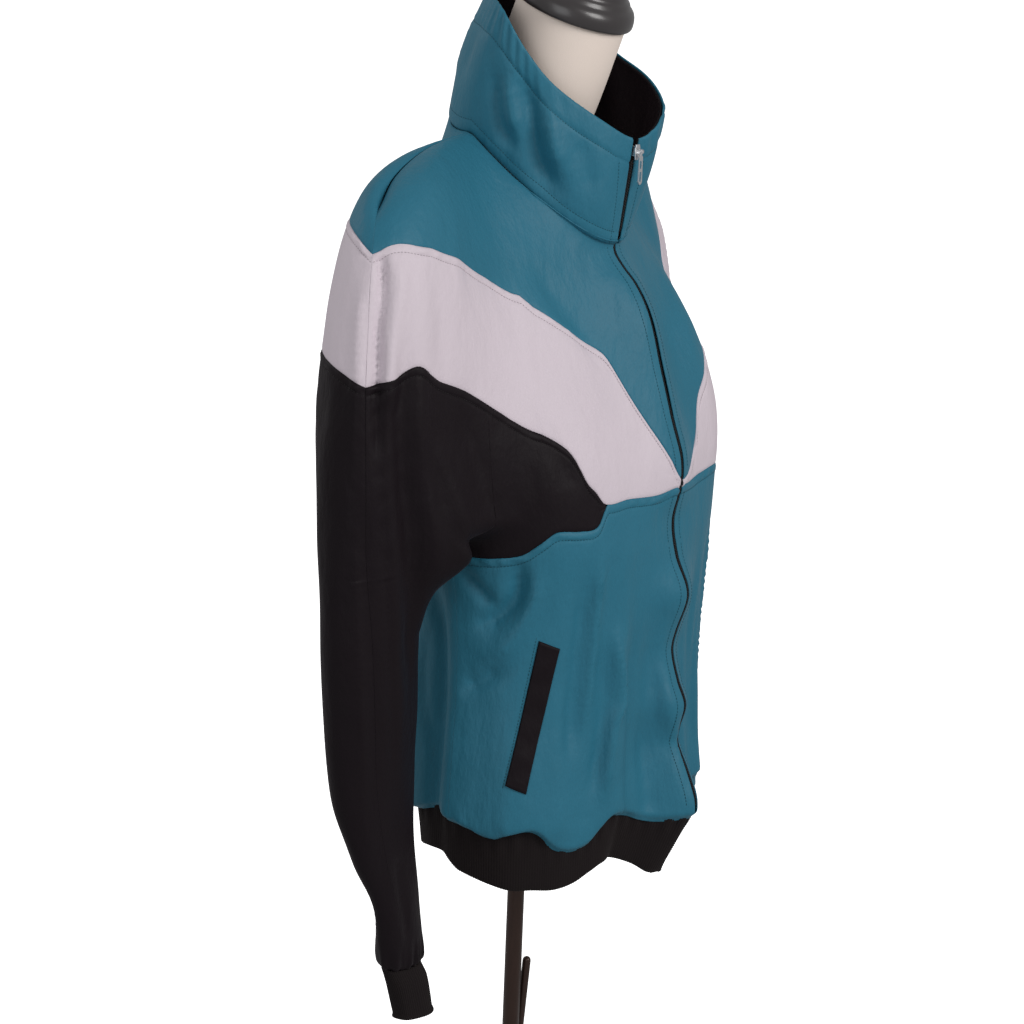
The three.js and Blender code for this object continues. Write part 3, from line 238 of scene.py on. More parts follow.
def collar_point(turn, t):
    """turn in degrees from centre front, right is negative; t 0 neckline .. 1 top edge"""
    turn, t = np.broadcast_arrays(np.asarray(turn, float), np.asarray(t, float))
    w, side = np.abs(turn) / 180, np.where(turn <= 0, 1.0, -1.0)
    front = w < 0.56
    s = np.clip(np.where(front, NECK_SHARE * w / 0.56, NECK_SHARE * (1 - w) / 0.44), 0, NECK_SHARE)
    f, b = top_line(s, False), top_line(s, True)
    base = [np.where(front, p, q) for p, q in zip(f, b)]
    base[0] = base[0] * side
    p = [(1 - t) * a + t * table(COLLAR_TOP, k + 1, turn) for k, a in enumerate(base)]
    bulge = 5 * np.sin(np.pi * t) * ramp(0, 25, np.abs(turn))
    r = np.hypot(p[0], p[1] + 5)
    p[2] = p[2] + 1.1 * (1 - ramp(0, 0.2, t))
    return place(np.stack([p[0] + bulge * p[0] / r, p[1] + bulge * (p[1] + 5) / r, p[2]], -1))


# ---------------------------------------------------------------- creases, in millimetres on the cloth
# each: width, depth (ridge +, trough -), sharpness (2 soft, 1 pressed), lead-in share, then x, y, z along it
CREASES_RIGHT = [
    (4.6, -10.0, 2, .16, [(-268, -1, 932), (-276, -9, 893), (-286, -13, 860), (-291, -17, 835), (-294, -19, 806), (-295, -22, 753)]),
    (8.0, 4.5, 2, .2, [(-262, -16, 925), (-269, -21, 893), (-280, -23, 860), (-286, -26, 830), (-288, -29, 790)]),
    (6.0, 4.5, 2, .2, [(-282, 4, 915), (-292, 2, 870), (-300, -3, 825), (-303, -6, 760), (-301, -8, 700)]),
    (3.4, -4.6, 1, .1, [(-294, -20, 806), (-295, -25, 753), (-291, -27, 698), (-281, -28, 633), (-273, -27, 572), (-260, -28, 492), (-249, -28, 433), (-239, -31, 394)]),
    (11.0, -8.0, 2, .22, [(-262, -27, 880), (-270, -33, 850), (-275, -35, 820), (-278, -34, 795), (-275, -36, 751), (-266, -38, 696), (-257, -39, 648), (-243, -34, 590), (-236, -28, 523)]),
    (9.0, 4.5, 2, .25, [(-258, -44, 830), (-262, -46, 790), (-258, -46, 740), (-248, -48, 690), (-240, -46, 640)]),
    (12.0, 3.0, 2, .3, [(-284, -28, 740), (-279, -32, 660), (-266, -32, 570), (-254, -29, 480), (-243, -28, 420)]),
    (3.5, 2.8, 1, .15, [(-309, 1, 763), (-308, -9, 671), (-298, -14, 547), (-290, -15, 465), (-271, -13, 370)]),
    (8.0, -2.0, 2, .2, [(-303, -12, 740), (-300, -18, 640), (-288, -20, 530), (-276, -20, 440)]),
    (10.0, 3.5, 2, .3, [(-250, -46, 775), (-233, -53, 735), (-222, -60, 700), (-213, -63, 672)]),
    (12.0, -4.5, 2, .3, [(-216, -52, 800), (-202, -62, 750), (-190, -70, 700), (-182, -74, 668)]),
    (8.5, -8.0, 2, .3, [(-158, -80, 655), (-154, -79, 619), (-160, -62, 597), (-165, -38, 586)]),
    (9.5, 6.0, 2, .3, [(-148, -92, 650), (-147, -88, 612), (-155, -72, 575), (-164, -44, 556)]),
    (6.5, -5.5, 2, .3, [(-169, -28, 636), (-166, -45, 622), (-161, -62, 604)]),
    (8.0, -5.0, 2, .3, [(-168, -34, 528), (-163, -52, 540), (-157, -70, 552)]),
    (6.5, 5.5, 2, .22, [(-101, -131, 664), (-100, -129, 630), (-100, -126, 588), (-102, -122, 506), (-104, -122, 482)]),
    (9.0, -5.0, 2, .25, [(-112, -124, 640), (-112, -120, 580), (-114, -116, 510), (-118, -114, 455)]),
    (6.0, 5.5, 2, .2, [(-83, -136, 592), (-76, -140, 555), (-71, -142, 517), (-79, -140, 497), (-84, -139, 464), (-88, -140, 420)]),
    (7.0, -4.5, 2, .25, [(-92, -132, 575), (-88, -135, 520), (-93, -133, 470), (-98, -132, 425)]),
    (8.0, 4.5, 2, .3, [(-21, -154, 583), (-16, -158, 511), (-7, -165, 464), (-10, -172, 430)]),
    (9.0, -4.5, 2, .3, [(-128, -100, 520), (-133, -96, 470), (-137, -92, 420)]),
    (8.0, 4.5, 2, .3, [(-148, -80, 500), (-152, -76, 450), (-153, -74, 400)]),
    (12.0, -3.6, 2, .3, [(-92, -40, 905), (-84, -62, 876), (-66, -84, 842), (-50, -100, 812)]),
    (14.0, 2.0, 2, .3, [(-110, -44, 900), (-104, -66, 868), (-90, -88, 836), (-74, -104, 806)]),
    (11.0, -1.8, 2, .3, [(-145, -14, 955), (-160, -38, 915), (-168, -58, 880)]),
    (12.0, 1.8, 2, .3, [(-180, -6, 950), (-196, -28, 912), (-206, -44, 870)]),
    (12.0, -2.4, 2, .3, [(-222, -8, 930), (-228, -28, 890), (-232, -42, 850), (-232, -50, 810)]),
    (10.0, -4.0, 2, .25, [(-150, -96, 790), (-140, -108, 750), (-126, -120, 712)]),
    (16.0, 1.8, 2, .3, [(-120, -108, 800), (-108, -122, 750), (-96, -132, 700)]),
    (8.0, -2.6, 2, .25, [(-213, -37, 470), (-216, -35, 430), (-218, -34, 390), (-216, -33, 350)]),
    (6.0, 2.2, 2, .25, [(-226, -36, 450), (-226, -34, 400), (-224, -33, 350), (-221, -36, 310)]),
    (6.0, -2.4, 2, .25, [(-244, -24, 400), (-238, -25, 360), (-232, -26, 330), (-226, -28, 300)]),
    (5.0, -2.0, 2, .25, [(-262, 2, 380), (-252, 0, 345), (-242, -2, 315), (-234, -6, 292)]),
    (7.0, 2.0, 2, .25, [(-258, -14, 420), (-252, -14, 380), (-244, -14, 340), (-237, -14, 305)])]
CREASES_BACK = [
    (14.0, -4.0, 2, .3, [(-70, 92, 960), (-96, 106, 900), (-120, 112, 840), (-150, 104, 780), (-176, 82, 720)]),
    (13.0, 3.0, 2, .3, [(-40, 96, 940), (-62, 112, 870), (-92, 116, 800), (-124, 106, 730)]),
    (12.0, -3.5, 2, .3, [(-152, 92, 900), (-178, 88, 840), (-200, 74, 770), (-206, 56, 700)]),
    (10.0, -4.0, 2, .25, [(-150, 66, 660), (-142, 66, 620), (-128, 66, 575)]),
    (9.0, 2.6, 2, .3, [(-160, 56, 640), (-150, 58, 590), (-134, 60, 540)]),
    (8.0, -3.2, 2, .25, [(-156, 12, 590), (-154, 14, 530), (-158, 4, 485), (-168, -14, 462)]),
    (10.0, 3.0, 2, .3, [(-150, 30, 560), (-150, 28, 500), (-156, 18, 440)]),
    (9.0, -4.5, 2, .3, [(-120, 56, 540), (-124, 52, 470), (-128, 48, 410)]),
    (9.0, 4.6, 2, .3, [(-96, 64, 560), (-94, 62, 480), (-92, 60, 400)]),
    (8.0, -5.0, 2, .3, [(-66, 70, 600), (-60, 66, 520), (-62, 64, 420)]),
    (10.0, 4.8, 2, .3, [(-30, 78, 640), (-26, 70, 540), (-28, 66, 430)]),
    (9.0, -4.0, 2, .3, [(10, 76, 600), (6, 70, 520), (8, 66, 420)]),
    (9.0, -5.0, 2, .25, [(-286, 30, 850), (-290, 28, 780), (-286, 30, 700), (-276, 34, 620), (-268, 34, 540)]),
    (9.0, 3.5, 2, .25, [(-270, 50, 860), (-274, 46, 780), (-266, 46, 690), (-256, 44, 600)]),
    (10.0, -4.5, 2, .25, [(-244, 58, 840), (-242, 54, 760), (-236, 50, 680), (-232, 46, 600), (-230, 42, 500)]),
    (8.0, 2.6, 2, .25, [(-222, 54, 760), (-216, 44, 680), (-214, 36, 600)]),
    (8.0, -3.0, 2, .25, [(-292, 26, 560), (-282, 26, 480), (-268, 22, 410), (-254, 16, 350)]),
    (7.0, 2.4, 2, .25, [(-250, 40, 500), (-244, 32, 430), (-238, 24, 370), (-230, 18, 320)]),
    (6.0, -2.4, 2, .25, [(-224, 30, 440), (-224, 24, 380), (-220, 16, 330), (-216, 12, 300)])]
# left front and sleeve, seen from behind the picture, so their own spacing:
CREASES_LEFT = [
    (8.0, -6.0, 2, .2, [(270, 2, 925), (284, -6, 880), (293, -14, 830), (296, -20, 770)]),
    (9.0, 4.0, 2, .25, [(258, -20, 920), (270, -26, 870), (280, -30, 820), (282, -32, 760)]),
    (4.0, -3.0, 1, .12, [(296, -20, 770), (294, -26, 690), (282, -28, 600), (268, -28, 520), (252, -28, 440)]),
    (12.0, -7.0, 2, .22, [(258, -34, 870), (268, -38, 820), (266, -42, 760), (256, -44, 700), (246, -40, 630), (238, -32, 560)]),
    (10.0, 4.0, 2, .25, [(246, -50, 820), (244, -54, 760), (234, -58, 700), (222, -60, 655)]),
    (4.0, 1.6, 1, .15, [(308, 4, 740), (304, -8, 640), (292, -14, 520), (276, -14, 400)]),
    (12.0, -4.0, 2, .3, [(206, -58, 790), (194, -68, 740), (182, -74, 690)]),
    (8.5, -7.5, 2, .3, [(162, -74, 650), (158, -72, 610), (164, -52, 585), (168, -30, 570)]),
    (9.5, 5.5, 2, .3, [(150, -90, 640), (150, -84, 596), (160, -62, 560)]),
    (6.5, 5.2, 2, .22, [(106, -128, 656), (98, -130, 590), (94, -128, 520), (100, -126, 450)]),
    (9.0, -5.0, 2, .25, [(118, -120, 640), (112, -121, 560), (112, -118, 490), (118, -114, 430)]),
    (7.0, -5.0, 2, .25, [(78, -140, 610), (70, -144, 550), (66, -146, 480), (72, -146, 420)]),
    (8.0, 4.8, 2, .25, [(52, -150, 600), (46, -152, 530), (44, -152, 460), (48, -152, 405)]),
    (6.0, -3.0, 2, .25, [(26, -152, 590), (24, -154, 520), (28, -156, 450)]),
    (9.0, 4.5, 2, .3, [(142, -88, 520), (148, -82, 460), (150, -78, 400)]),
    (14.0, -2.4, 2, .3, [(94, -44, 900), (82, -70, 868), (62, -92, 830), (44, -108, 790)]),
    (14.0, 2.0, 2, .3, [(114, -48, 892), (104, -76, 852), (86, -98, 812)]),
    (12.0, -2.4, 2, .3, [(216, -14, 925), (228, -34, 880), (234, -48, 830)]),
    (11.0, -2.6, 2, .25, [(154, -92, 780), (138, -110, 740), (118, -126, 700)]),
    (16.0, 1.8, 2, .3, [(116, -112, 790), (100, -128, 740), (84, -138, 690)]),
    (7.0, -2.6, 2, .25, [(216, -34, 470), (220, -32, 420), (219, -33, 360)]),
    (6.0, 2.2, 2, .25, [(230, -34, 440), (229, -33, 390), (224, -34, 330)]),
    (6.0, -2.4, 2, .25, [(248, -22, 410), (240, -24, 365), (232, -26, 315)]),
    (5.0, -2.0, 2, .25, [(264, 4, 390), (254, 0, 350), (240, -4, 304)])]
CREASES_COLLAR = [
    (11.5, -11.0, 2, .3, [(-79, -16, 1070), (-77, -21, 1050), (-75, -28, 1023), (-70, -33, 989), (-62, -42, 965), (-54, -52, 950)]),
    (8.0, -6.0, 2, .3, [(-84, 6, 1066), (-83, 3, 1040), (-81, 1, 1020), (-78, -6, 1003), (-74, -17, 988)]),
    (10.0, 6.5, 2, .3, [(-70, -36, 1030), (-67, -41, 1012), (-64, -46, 993), (-59, -51, 975)]),
    (8.0, 4.5, 2, .3, [(-84, -6, 1056), (-81, -10, 1030), (-77, -16, 1006)]),
    (11.0, -3.0, 2, .3, [(-48, -64, 1010), (-44, -66, 985), (-36, -72, 955)]),
    (10.0, -3.0, 2, .3, [(-72, 34, 1110), (-70, 44, 1080), (-66, 54, 1050)]),
    (12.0, 2.5, 2, .3, [(-44, 52, 1112), (-42, 62, 1080), (-38, 74, 1050)]),
    (12.0, -3.0, 2, .3, [(8, 60, 1112), (10, 70, 1080), (12, 80, 1050)]),
    (12.0, -3.5, 2, .3, [(70, 34, 1090), (74, 38, 1060), (74, 44, 1030)]),
    (13.0, -5.0, 2, .3, [(84, -12, 1066), (80, -20, 1030), (72, -30, 990)]),
    (11.0, 3.0, 2, .3, [(74, -52, 1040), (68, -52, 1005), (58, -56, 965)]),
    (10.0, -2.6, 2, .3, [(46, -80, 1020), (42, -76, 985), (36, -74, 950)])]


def polyline(points):
    """points every few millimetres along a smooth line, and their share of its length"""
    p = np.array(points, float)
    k = np.concatenate([[0], np.cumsum(np.linalg.norm(np.diff(p, axis=0), axis=1))])
    u = np.linspace(0, k[-1], max(8, int(k[-1] / 7)))
    q = np.stack([table(list(zip(k, p[:, c])), 1, u) for c in range(3)], 1)
    return q, u / k[-1]


def crease_field(P, creases):
    """how far out the creases push the cloth at points P"""
    shape = P.shape[:-1]
    p = P.reshape(-1, 3)
    out = np.zeros(len(p))
    for width, depth, sharp, lead, line in creases:
        q, share = polyline(line)
        r = 3.2 * width
        near = np.where(np.all((p > q.min(0) - r) & (p < q.max(0) + r), axis=1))[0]
        if not len(near):
            continue
        d2 = ((p[near, None, :] - q[None, :, :]) ** 2).sum(-1)
        d2 = np.maximum(d2, 0)
        w = np.exp(-(np.sqrt(d2) / width) ** sharp if sharp == 1 else -d2 / width**2)
        fade = ramp(0, lead, share) * (1 - ramp(1 - lead, 1, share))
        out[near] += depth * (w * fade).max(1)
    return out.reshape(shape)


WAVES = np.random.default_rng(7)
WAVE_K = [(2 * np.pi / L) * np.array([np.cos(a) * np.cos(b), np.sin(a) * np.cos(b), np.sin(b)])
          for L, a, b in zip(WAVES.uniform(34, 110, 26), WAVES.uniform(0, np.pi, 26), WAVES.normal(0, .35, 26))]
WAVE_P = WAVES.uniform(0, 2 * np.pi, 26)


def drift(P, lo=0, hi=26):
    """soft uneven swell of hanging cloth"""
    out = 0
    for k, ph in zip(WAVE_K[lo:hi], WAVE_P[lo:hi]):
        out = out + np.sin(P @ k + ph)
    return out / np.sqrt(hi - lo)


# ---------------------------------------------------------------- grids
def along(param, points):
    """length along each column of points (n, m, 3)"""
    d = np.linalg.norm(np.diff(points, axis=1), axis=2)
    return np.concatenate([np.zeros((len(d), 1)), np.cumsum(d, 1)], 1)


def stations(s_from, s_to, back, v, step, arm=None, ends=(.6, 1.6, 3.2)):
    """values of s at an even spacing in millimetres along the height v, closer at both ends"""
    s = np.linspace(s_from, s_to, 400)
    p = surface(s, np.full(400, float(v)), back, arm)
    k = np.concatenate([[0], np.cumsum(np.linalg.norm(np.diff(p, axis=0), axis=1))])
    n = max(4, int((k[-1] - 2 * ends[-1]) / step))
    d = np.concatenate([[0], ends[:-1], np.linspace(ends[-1], k[-1] - ends[-1], n), k[-1] - np.array(ends[:-1])[::-1], [k[-1]]])
    return np.interp(d, k, s)


TOP_EDGE = np.array([0, .5, 1.2, 2.4, 4.2, 6.0, 7.0, 8.0, 9.2, 11.5])
LOW_EDGE = np.array([0, .5, 1.4, 3.0])


def rows(s, lo, hi, back, arm, step, top=TOP_EDGE, low=LOW_EDGE, height=None):
    """v[i, j] by distance down from the upper edge; rows are ordered from the lower edge to the upper one"""
    n = 160
    f = np.linspace(0, 1, n)
    v = lo[:, None] + (hi - lo)[:, None] * f
    g = np.where(f < .55, lo[:, None] * (1 - f / .55), hi[:, None] * np.clip((f - .55) / .45, 0, 1) ** 1.4)
    v = np.where(((lo < 0) & (hi > 0))[:, None], g, v)
    p = surface(np.repeat(s[:, None], n, 1), v, back, arm)
    k = along(v, p)
    L = k[:, -1:]
    height = height or float(np.median(L))
    m = max(2, int((height - top[-1] - low[-1]) / step))
    q = np.minimum(1, L / (1.6 * (top[-1] + low[-1])))
    t = np.concatenate([low[None, :] * q, (low[-1] * q) + (L - (top[-1] + low[-1]) * q) * np.linspace(0, 1, m + 2)[None, 1:-1], L - top[::-1][None, :] * q], 1)
    out = np.stack([np.interp(t[i], k[i], v[i]) for i in range(len(s))])
    return out, t, L


def grid_normals(P, away):
    a, b = np.gradient(P, axis=0), np.gradient(P, axis=1)
    n = np.cross(a, b)
    n /= np.maximum(np.linalg.norm(n, axis=-1, keepdims=True), 1e-9)
    if ((n * (P - away)).sum(-1)).mean() < 0:
        n = -n
    return n


def creases_for(side, back):
    if back:
        base = CREASES_BACK
        if side < 0:
            base = [(w * 1.05, d * .9, k, f, [(-x, y + 1, z - 14 + 9 * np.sin(i * 2.4)) for x, y, z in line]) for i, (w, d, k, f, line) in enumerate(CREASES_BACK)]
        return base
    return CREASES_RIGHT if side > 0 else CREASES_LEFT


ALL_CREASES = [(w, d, k, f, place(line)) for w, d, k, f, line in CREASES_RIGHT + CREASES_LEFT + creases_for(1, True) + creases_for(-1, True)]


def hanging(P):
    """share of the small swell at a height: little where the cloth lies on the form"""
    return 0.35 + 0.65 * (1 - ramp(820, 960, P[..., 2]))


def cloth(s, v, back, arm, side, edge=None):
    """displaced outer points and normals of a panel; edge: distance in mm below the upper edge and above the lower one"""
    S = np.repeat(s[:, None], v.shape[1], 1)
    P = surface(drawn(S, v) if side < 0 and not back else S, v, back, arm)
    away = np.array([-252.0, 8.0, P[..., 2].mean()]) if arm is True else np.array([0, 0, P[..., 2].mean() - 60])
    P = place(P, side)
    N = grid_normals(P, place(away, side))
    return lifted(P, N, edge)


def lifted(P, N, edge=None, creases=None):
    d = crease_field(P, ALL_CREASES if creases is None else creases)
    d = d + .55 * drift(P) * hanging(P)
    if edge is not None:
        down, upw, kind = edge
        if 'shoulder' in kind:
            d = d * ramp(0, 16, down)
        wob = .5 + .5 * np.sin(P[..., 0] / 17 + P[..., 1] / 23 + P[..., 2] / 31)
        if 'seam' in kind:
            d = d - .75 * np.exp(-((down / 1.3) ** 2))
        if 'stitched' in kind:
            ripple = np.sin((P[..., 0] * .8 + P[..., 1] - P[..., 2] * .7) * 2 * np.pi / 11.5 + 2 * drift(P, 0, 8))
            strip = ramp(0, 1.5, down) * (1 - ramp(6.2, 7.6, down))
            d = d + strip * (.4 + .8 * ripple * wob) - .55 * np.exp(-(((down - 7.5) / .85) ** 2)) * (1 + .3 * ripple)
        if 'low_seam' in kind:
            d = d - .75 * np.exp(-((upw / 1.3) ** 2))
        if 'tuck' in kind:
            gather = np.sin((P[..., 0] + P[..., 1] * .9) * 2 * np.pi / 15 + 2.2 * drift(P, 8, 16))
            d = d - 6.5 * (1 - ramp(0, 9, upw)) ** 2 + .7 * gather * (1 - ramp(3, 26, upw)) * (.4 + .6 * wob)
        if 'gather' in kind:
            turn = np.arctan2(P[..., 1] + 12, np.abs(P[..., 0]) - 215)
            d = d - 3.2 * (1 - ramp(0, 6, upw)) ** 2 + (1.1 * np.sin(turn * 11 + 1.2 * np.sin(turn * 3)) + .5 * np.sin(turn * 19 + 1)) * (1 - ramp(4, 34, upw))
    return P + N * d[..., None], N


def wall_mesh(name, P, thickness, material, mask=None, wrap=False, inner=None, away=None, N=None):
    """closed shell from a grid of outer points"""
    ni, nj = P.shape[:2]
    if N is None:
        Q = np.concatenate([P[-2:], P, P[:2]]) if wrap else P
        N = grid_normals(Q, P.reshape(-1, 3).mean(0) if away is None else away)
        N = N[2:-2] if wrap else N
    T = P - N * thickness if inner is None else inner
    verts = np.concatenate([P.reshape(-1, 3), T.reshape(-1, 3)]) / 1000.0
    ci = ni if wrap else ni - 1
    on = np.ones((ci, nj - 1), bool) if mask is None else mask
    I, J = np.nonzero(on)
    o = lambda i, j: (i % ni) * nj + j
    n_ = lambda i, j: ni * nj + (i % ni) * nj + j
    # winding: outer faces look along N
    a, b, c = P[0, 0], P[1, 0], P[0, 1]
    i0, j0 = I[len(I) // 2], J[len(J) // 2]
    fn = np.cross(P[(i0 + 1) % ni, j0] - P[i0, j0], P[i0, j0 + 1] - P[i0, j0])
    flip = (fn * N[i0, j0]).sum() < 0
    faces = [np.stack([o(I, J), o(I + 1, J), o(I + 1, J + 1), o(I, J + 1)], 1), np.stack([n_(I, J), n_(I, J + 1), n_(I + 1, J + 1), n_(I + 1, J)], 1)]
    pad = np.zeros((ci + 2, nj + 1), bool)
    pad[1:-1, 1:-1] = on
    if wrap:
        pad[0, 1:-1], pad[-1, 1:-1] = on[-1], on[0]
    def rim(cond, e1, e2):
        i, j = I[cond], J[cond]
        p, q = e1(i, j), e2(i, j)
        faces.append(np.stack([o(*q), o(*p), n_(*p), n_(*q)], 1))
    rim(~pad[I + 1, J], lambda i, j: (i, j), lambda i, j: (i + 1, j))
    rim(~pad[I + 1, J + 2], lambda i, j: (i + 1, j + 1), lambda i, j: (i, j + 1))
    rim(~pad[I, J + 1], lambda i, j: (i, j + 1), lambda i, j: (i, j))
    rim(~pad[I + 2, J + 1], lambda i, j: (i + 1, j), lambda i, j: (i + 1, j + 1))
    F = np.concatenate(faces)
    if flip:
        F = F[:, ::-1]
    return mesh_object(name, verts, F, material)


def mesh_object(name, verts, faces, material, smooth=True):
    used = np.unique(faces)
    index = np.zeros(len(verts), int)
    index[used] = np.arange(len(used))
    me = bpy.data.meshes.new(name)
    me.from_pydata(verts[used].tolist(), [], index[faces].tolist())
    me.validate()
    me.polygons.foreach_set("use_smooth", [smooth] * len(me.polygons))
    me.update()
    ob = bpy.data.objects.new(name, me)
    bpy.context.scene.collection.objects.link(ob)
    if material is not None:
        me.materials.append(material)
    return ob


# ---------------------------------------------------------------- materials
def srgb(r, g, b):
    return tuple(((c / 255 + .055) / 1.055) ** 2.4 if c > 10 else c / 255 / 12.92 for c in (r, g, b)) + (1.0,)


def material(name, colour, rough, spread=.06, grain=900.0, bump=.12, bump_depth=.0003, stretch=(1, 1, 1), vary=.05, vary_scale=14.0, crumple=0, **sockets):
    """procedural finish: small colour changes, uneven roughness and a fine bump of the given grain (1/m)"""
    m = bpy.data.materials.new(name)
    m.use_nodes = True
    nt = m.node_tree
    bs = nt.nodes["Principled BSDF"]
    new = nt.nodes.new
    co = new("ShaderNodeTexCoord")
    mp = new("ShaderNodeMapping")
    mp.inputs["Scale"].default_value = stretch
    nt.links.new(co.outputs["Object"], mp.inputs["Vector"])
    big = new("ShaderNodeTexNoise")
    big.inputs["Scale"].default_value = vary_scale
    big.inputs["Detail"].default_value = 3.0
    nt.links.new(co.outputs["Object"], big.inputs["Vector"])
    fine = new("ShaderNodeTexNoise")
    fine.inputs["Scale"].default_value = grain
    fine.inputs["Detail"].default_value = 1.5
    nt.links.new(mp.outputs["Vector"], fine.inputs["Vector"])
    add = new("ShaderNodeMath")
    add.operation = 'MULTIPLY_ADD'
    add.inputs[1].default_value = .55
    nt.links.new(fine.outputs["Fac"], add.inputs[0])
    half = new("ShaderNodeMath")
    half.operation = 'MULTIPLY'
    half.inputs[1].default_value = .45
    nt.links.new(big.outputs["Fac"], half.inputs[0])
    nt.links.new(half.outputs[0], add.inputs[2])
    ramp_ = new("ShaderNodeValToRGB")
    ramp_.color_ramp.elements[0].position = .3
    ramp_.color_ramp.elements[1].position = .7
    ramp_.color_ramp.elements[0].color = tuple(c * (1 - vary) for c in colour[:3]) + (1,)
    ramp_.color_ramp.elements[1].color = tuple(min(1, c * (1 + vary)) for c in colour[:3]) + (1,)
    nt.links.new(add.outputs[0], ramp_.inputs["Fac"])
    nt.links.new(ramp_.outputs["Color"], bs.inputs["Base Color"])
    rr = new("ShaderNodeMapRange")
    rr.inputs["To Min"].default_value = rough - spread
    rr.inputs["To Max"].default_value = rough + spread
    nt.links.new(big.outputs["Fac"], rr.inputs["Value"])
    nt.links.new(rr.outputs["Result"], bs.inputs["Roughness"])
    bp = new("ShaderNodeBump")
    bp.inputs["Strength"].default_value = bump
    bp.inputs["Distance"].default_value = bump_depth
    nt.links.new(fine.outputs["Fac"], bp.inputs["Height"])
    if crumple:
        wide = new("ShaderNodeTexNoise")
        wide.inputs["Scale"].default_value = 58.0
        wide.inputs["Detail"].default_value = 4.0
        wide.inputs["Roughness"].default_value = .55
        nt.links.new(mp.outputs["Vector"], wide.inputs["Vector"])
        b2 = new("ShaderNodeBump")
        b2.inputs["Strength"].default_value = crumple
        b2.inputs["Distance"].default_value = .0024
        nt.links.new(wide.outputs["Fac"], b2.inputs["Height"])
        nt.links.new(b2.outputs["Normal"], bp.inputs["Normal"])
    nt.links.new(bp.outputs["Normal"], bs.inputs["Normal"])
    for key, value in sockets.items():
        bs.inputs[key.replace("_", " ")].default_value = value
    return m


TRICOT = dict(grain=1100.0, bump=.16, crumple=.9, stretch=(1, 1, .45), Sheen_Roughness=.42)
M_TEAL = material("teal_tricot", srgb(42, 112, 136), .52, vary=.08, Sheen_Weight=.09, Sheen_Tint=(.45, .78, .9, 1), Specular_IOR_Level=.28, **TRICOT)
M_WHITE = material("white_tricot", srgb(217, 205, 214), .58, vary=.02, Sheen_Weight=.12, Sheen_Tint=(1, .97, 1, 1), Specular_IOR_Level=.32, **TRICOT)
M_BLACK = material("black_tricot", srgb(21, 14, 19), .58, vary=.14, Sheen_Weight=.03, Sheen_Tint=(.8, .6, .72, 1), Specular_IOR_Level=.15, **TRICOT)
M_RIB = material("black_rib", srgb(24, 18, 19), .85, vary=.12, grain=700.0, bump=.3, Sheen_Weight=.05, Sheen_Roughness=.5, Sheen_Tint=(.7, .6, .6, 1), Specular_IOR_Level=.2)
M_TAPE = material("black_tape", srgb(24, 22, 25), .8, vary=.1, grain=1500.0, bump=.3, stretch=(1, 1, 2), Specular_IOR_Level=.25)
M_TEETH = material("zip_teeth", srgb(22, 21, 24), .38, vary=.1, grain=500.0, bump=.05, Specular_IOR_Level=.5)
M_THREAD_TEAL = material("thread_teal", srgb(30, 84, 98), .62, grain=3000.0, Specular_IOR_Level=.3)
M_THREAD_WHITE = material("thread_white", srgb(176, 166, 172), .62, grain=3000.0, Specular_IOR_Level=.3)
M_THREAD_BLACK = material("thread_black", srgb(20, 16, 19), .5, grain=3000.0, Specular_IOR_Level=.4)
M_LINEN = material("form_fabric", srgb(248, 233, 222), .82, vary=.025, grain=1400.0, bump=.35, bump_depth=.0004, Sheen_Weight=.15, Specular_IOR_Level=.25)
M_CAP = material("cap_plastic", srgb(54, 50, 51), .3, vary=.06, grain=260.0, bump=.04, Specular_IOR_Level=.55, Coat_Weight=.25, Coat_Roughness=.2)
M_STEEL = material("stand_enamel", srgb(56, 37, 30), .36, vary=.12, grain=320.0, bump=.08, stretch=(1, 1, .2), Metallic=.45, Specular_IOR_Level=.5, Coat_Weight=.2, Coat_Roughness=.25)
M_FOOT = material("foot_rubber", srgb(26, 24, 24), .8, vary=.1, grain=420.0, bump=.25, Specular_IOR_Level=.3)
M_METAL = material("zip_nickel", srgb(228, 229, 232), .36, spread=.06, vary=.05, grain=900.0, bump=.08, Metallic=1.0)


# ---------------------------------------------------------------- cloth panels
STEP = 3.3
FT, FL, FC = (lambda s, t=t: table(t, 1, s) for t in (FRONT_TOP, FRONT_LOW, FRONT_CHEST))
BT, BL, BC = (lambda s, t=t: table(t, 1, s) for t in (BACK_TOP, BACK_LOW, BACK_CHEST))
GAP = .06                                  # half of the hairline between sewn edges, in mm
TOP_V = 0.99992
OVER = 2 - 0.0004
CLOTH_WALL = 1.0
shells, lines = {}, []                     # pieces by name; seam lines for the stitching


def zip_s(v):
    """s where the front's edge lies ZIP_HALF from centre"""
    d = 0.004
    a, b = surface(np.zeros_like(v), v, False, False), surface(np.full_like(v, d), v, False, False)
    return ZIP_HALF * d / np.maximum(np.linalg.norm(a - b, axis=-1), 1e-6)


def edge_rows(s, lo, hi, back, arm, step=STEP, **kw):
    v, t, L = rows(s, lo, hi, back, arm, step, **kw)
    return v, (L - t, t)


def panel(name, s, lo, hi, back, arm, side, kind, step=STEP, **kw):
    v, (down, up) = edge_rows(s, lo, hi, back, arm, step, **kw)
    P, N = cloth(s, v, back, arm, side, (down, up, kind))
    return P, N, v, down, up


def shell(name, P, material, nodes, side=1, mask=None, wrap=False, away=None, wall=CLOTH_WALL, inner=None):
    away = np.array([0, 0, P[..., 2].mean() - 40]) if away is None else away
    ob = wall_mesh(name, P, wall, material, mask, wrap, inner, away)
    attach(ob, "root")
    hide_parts(*nodes)
    shells[name] = ob
    return ob


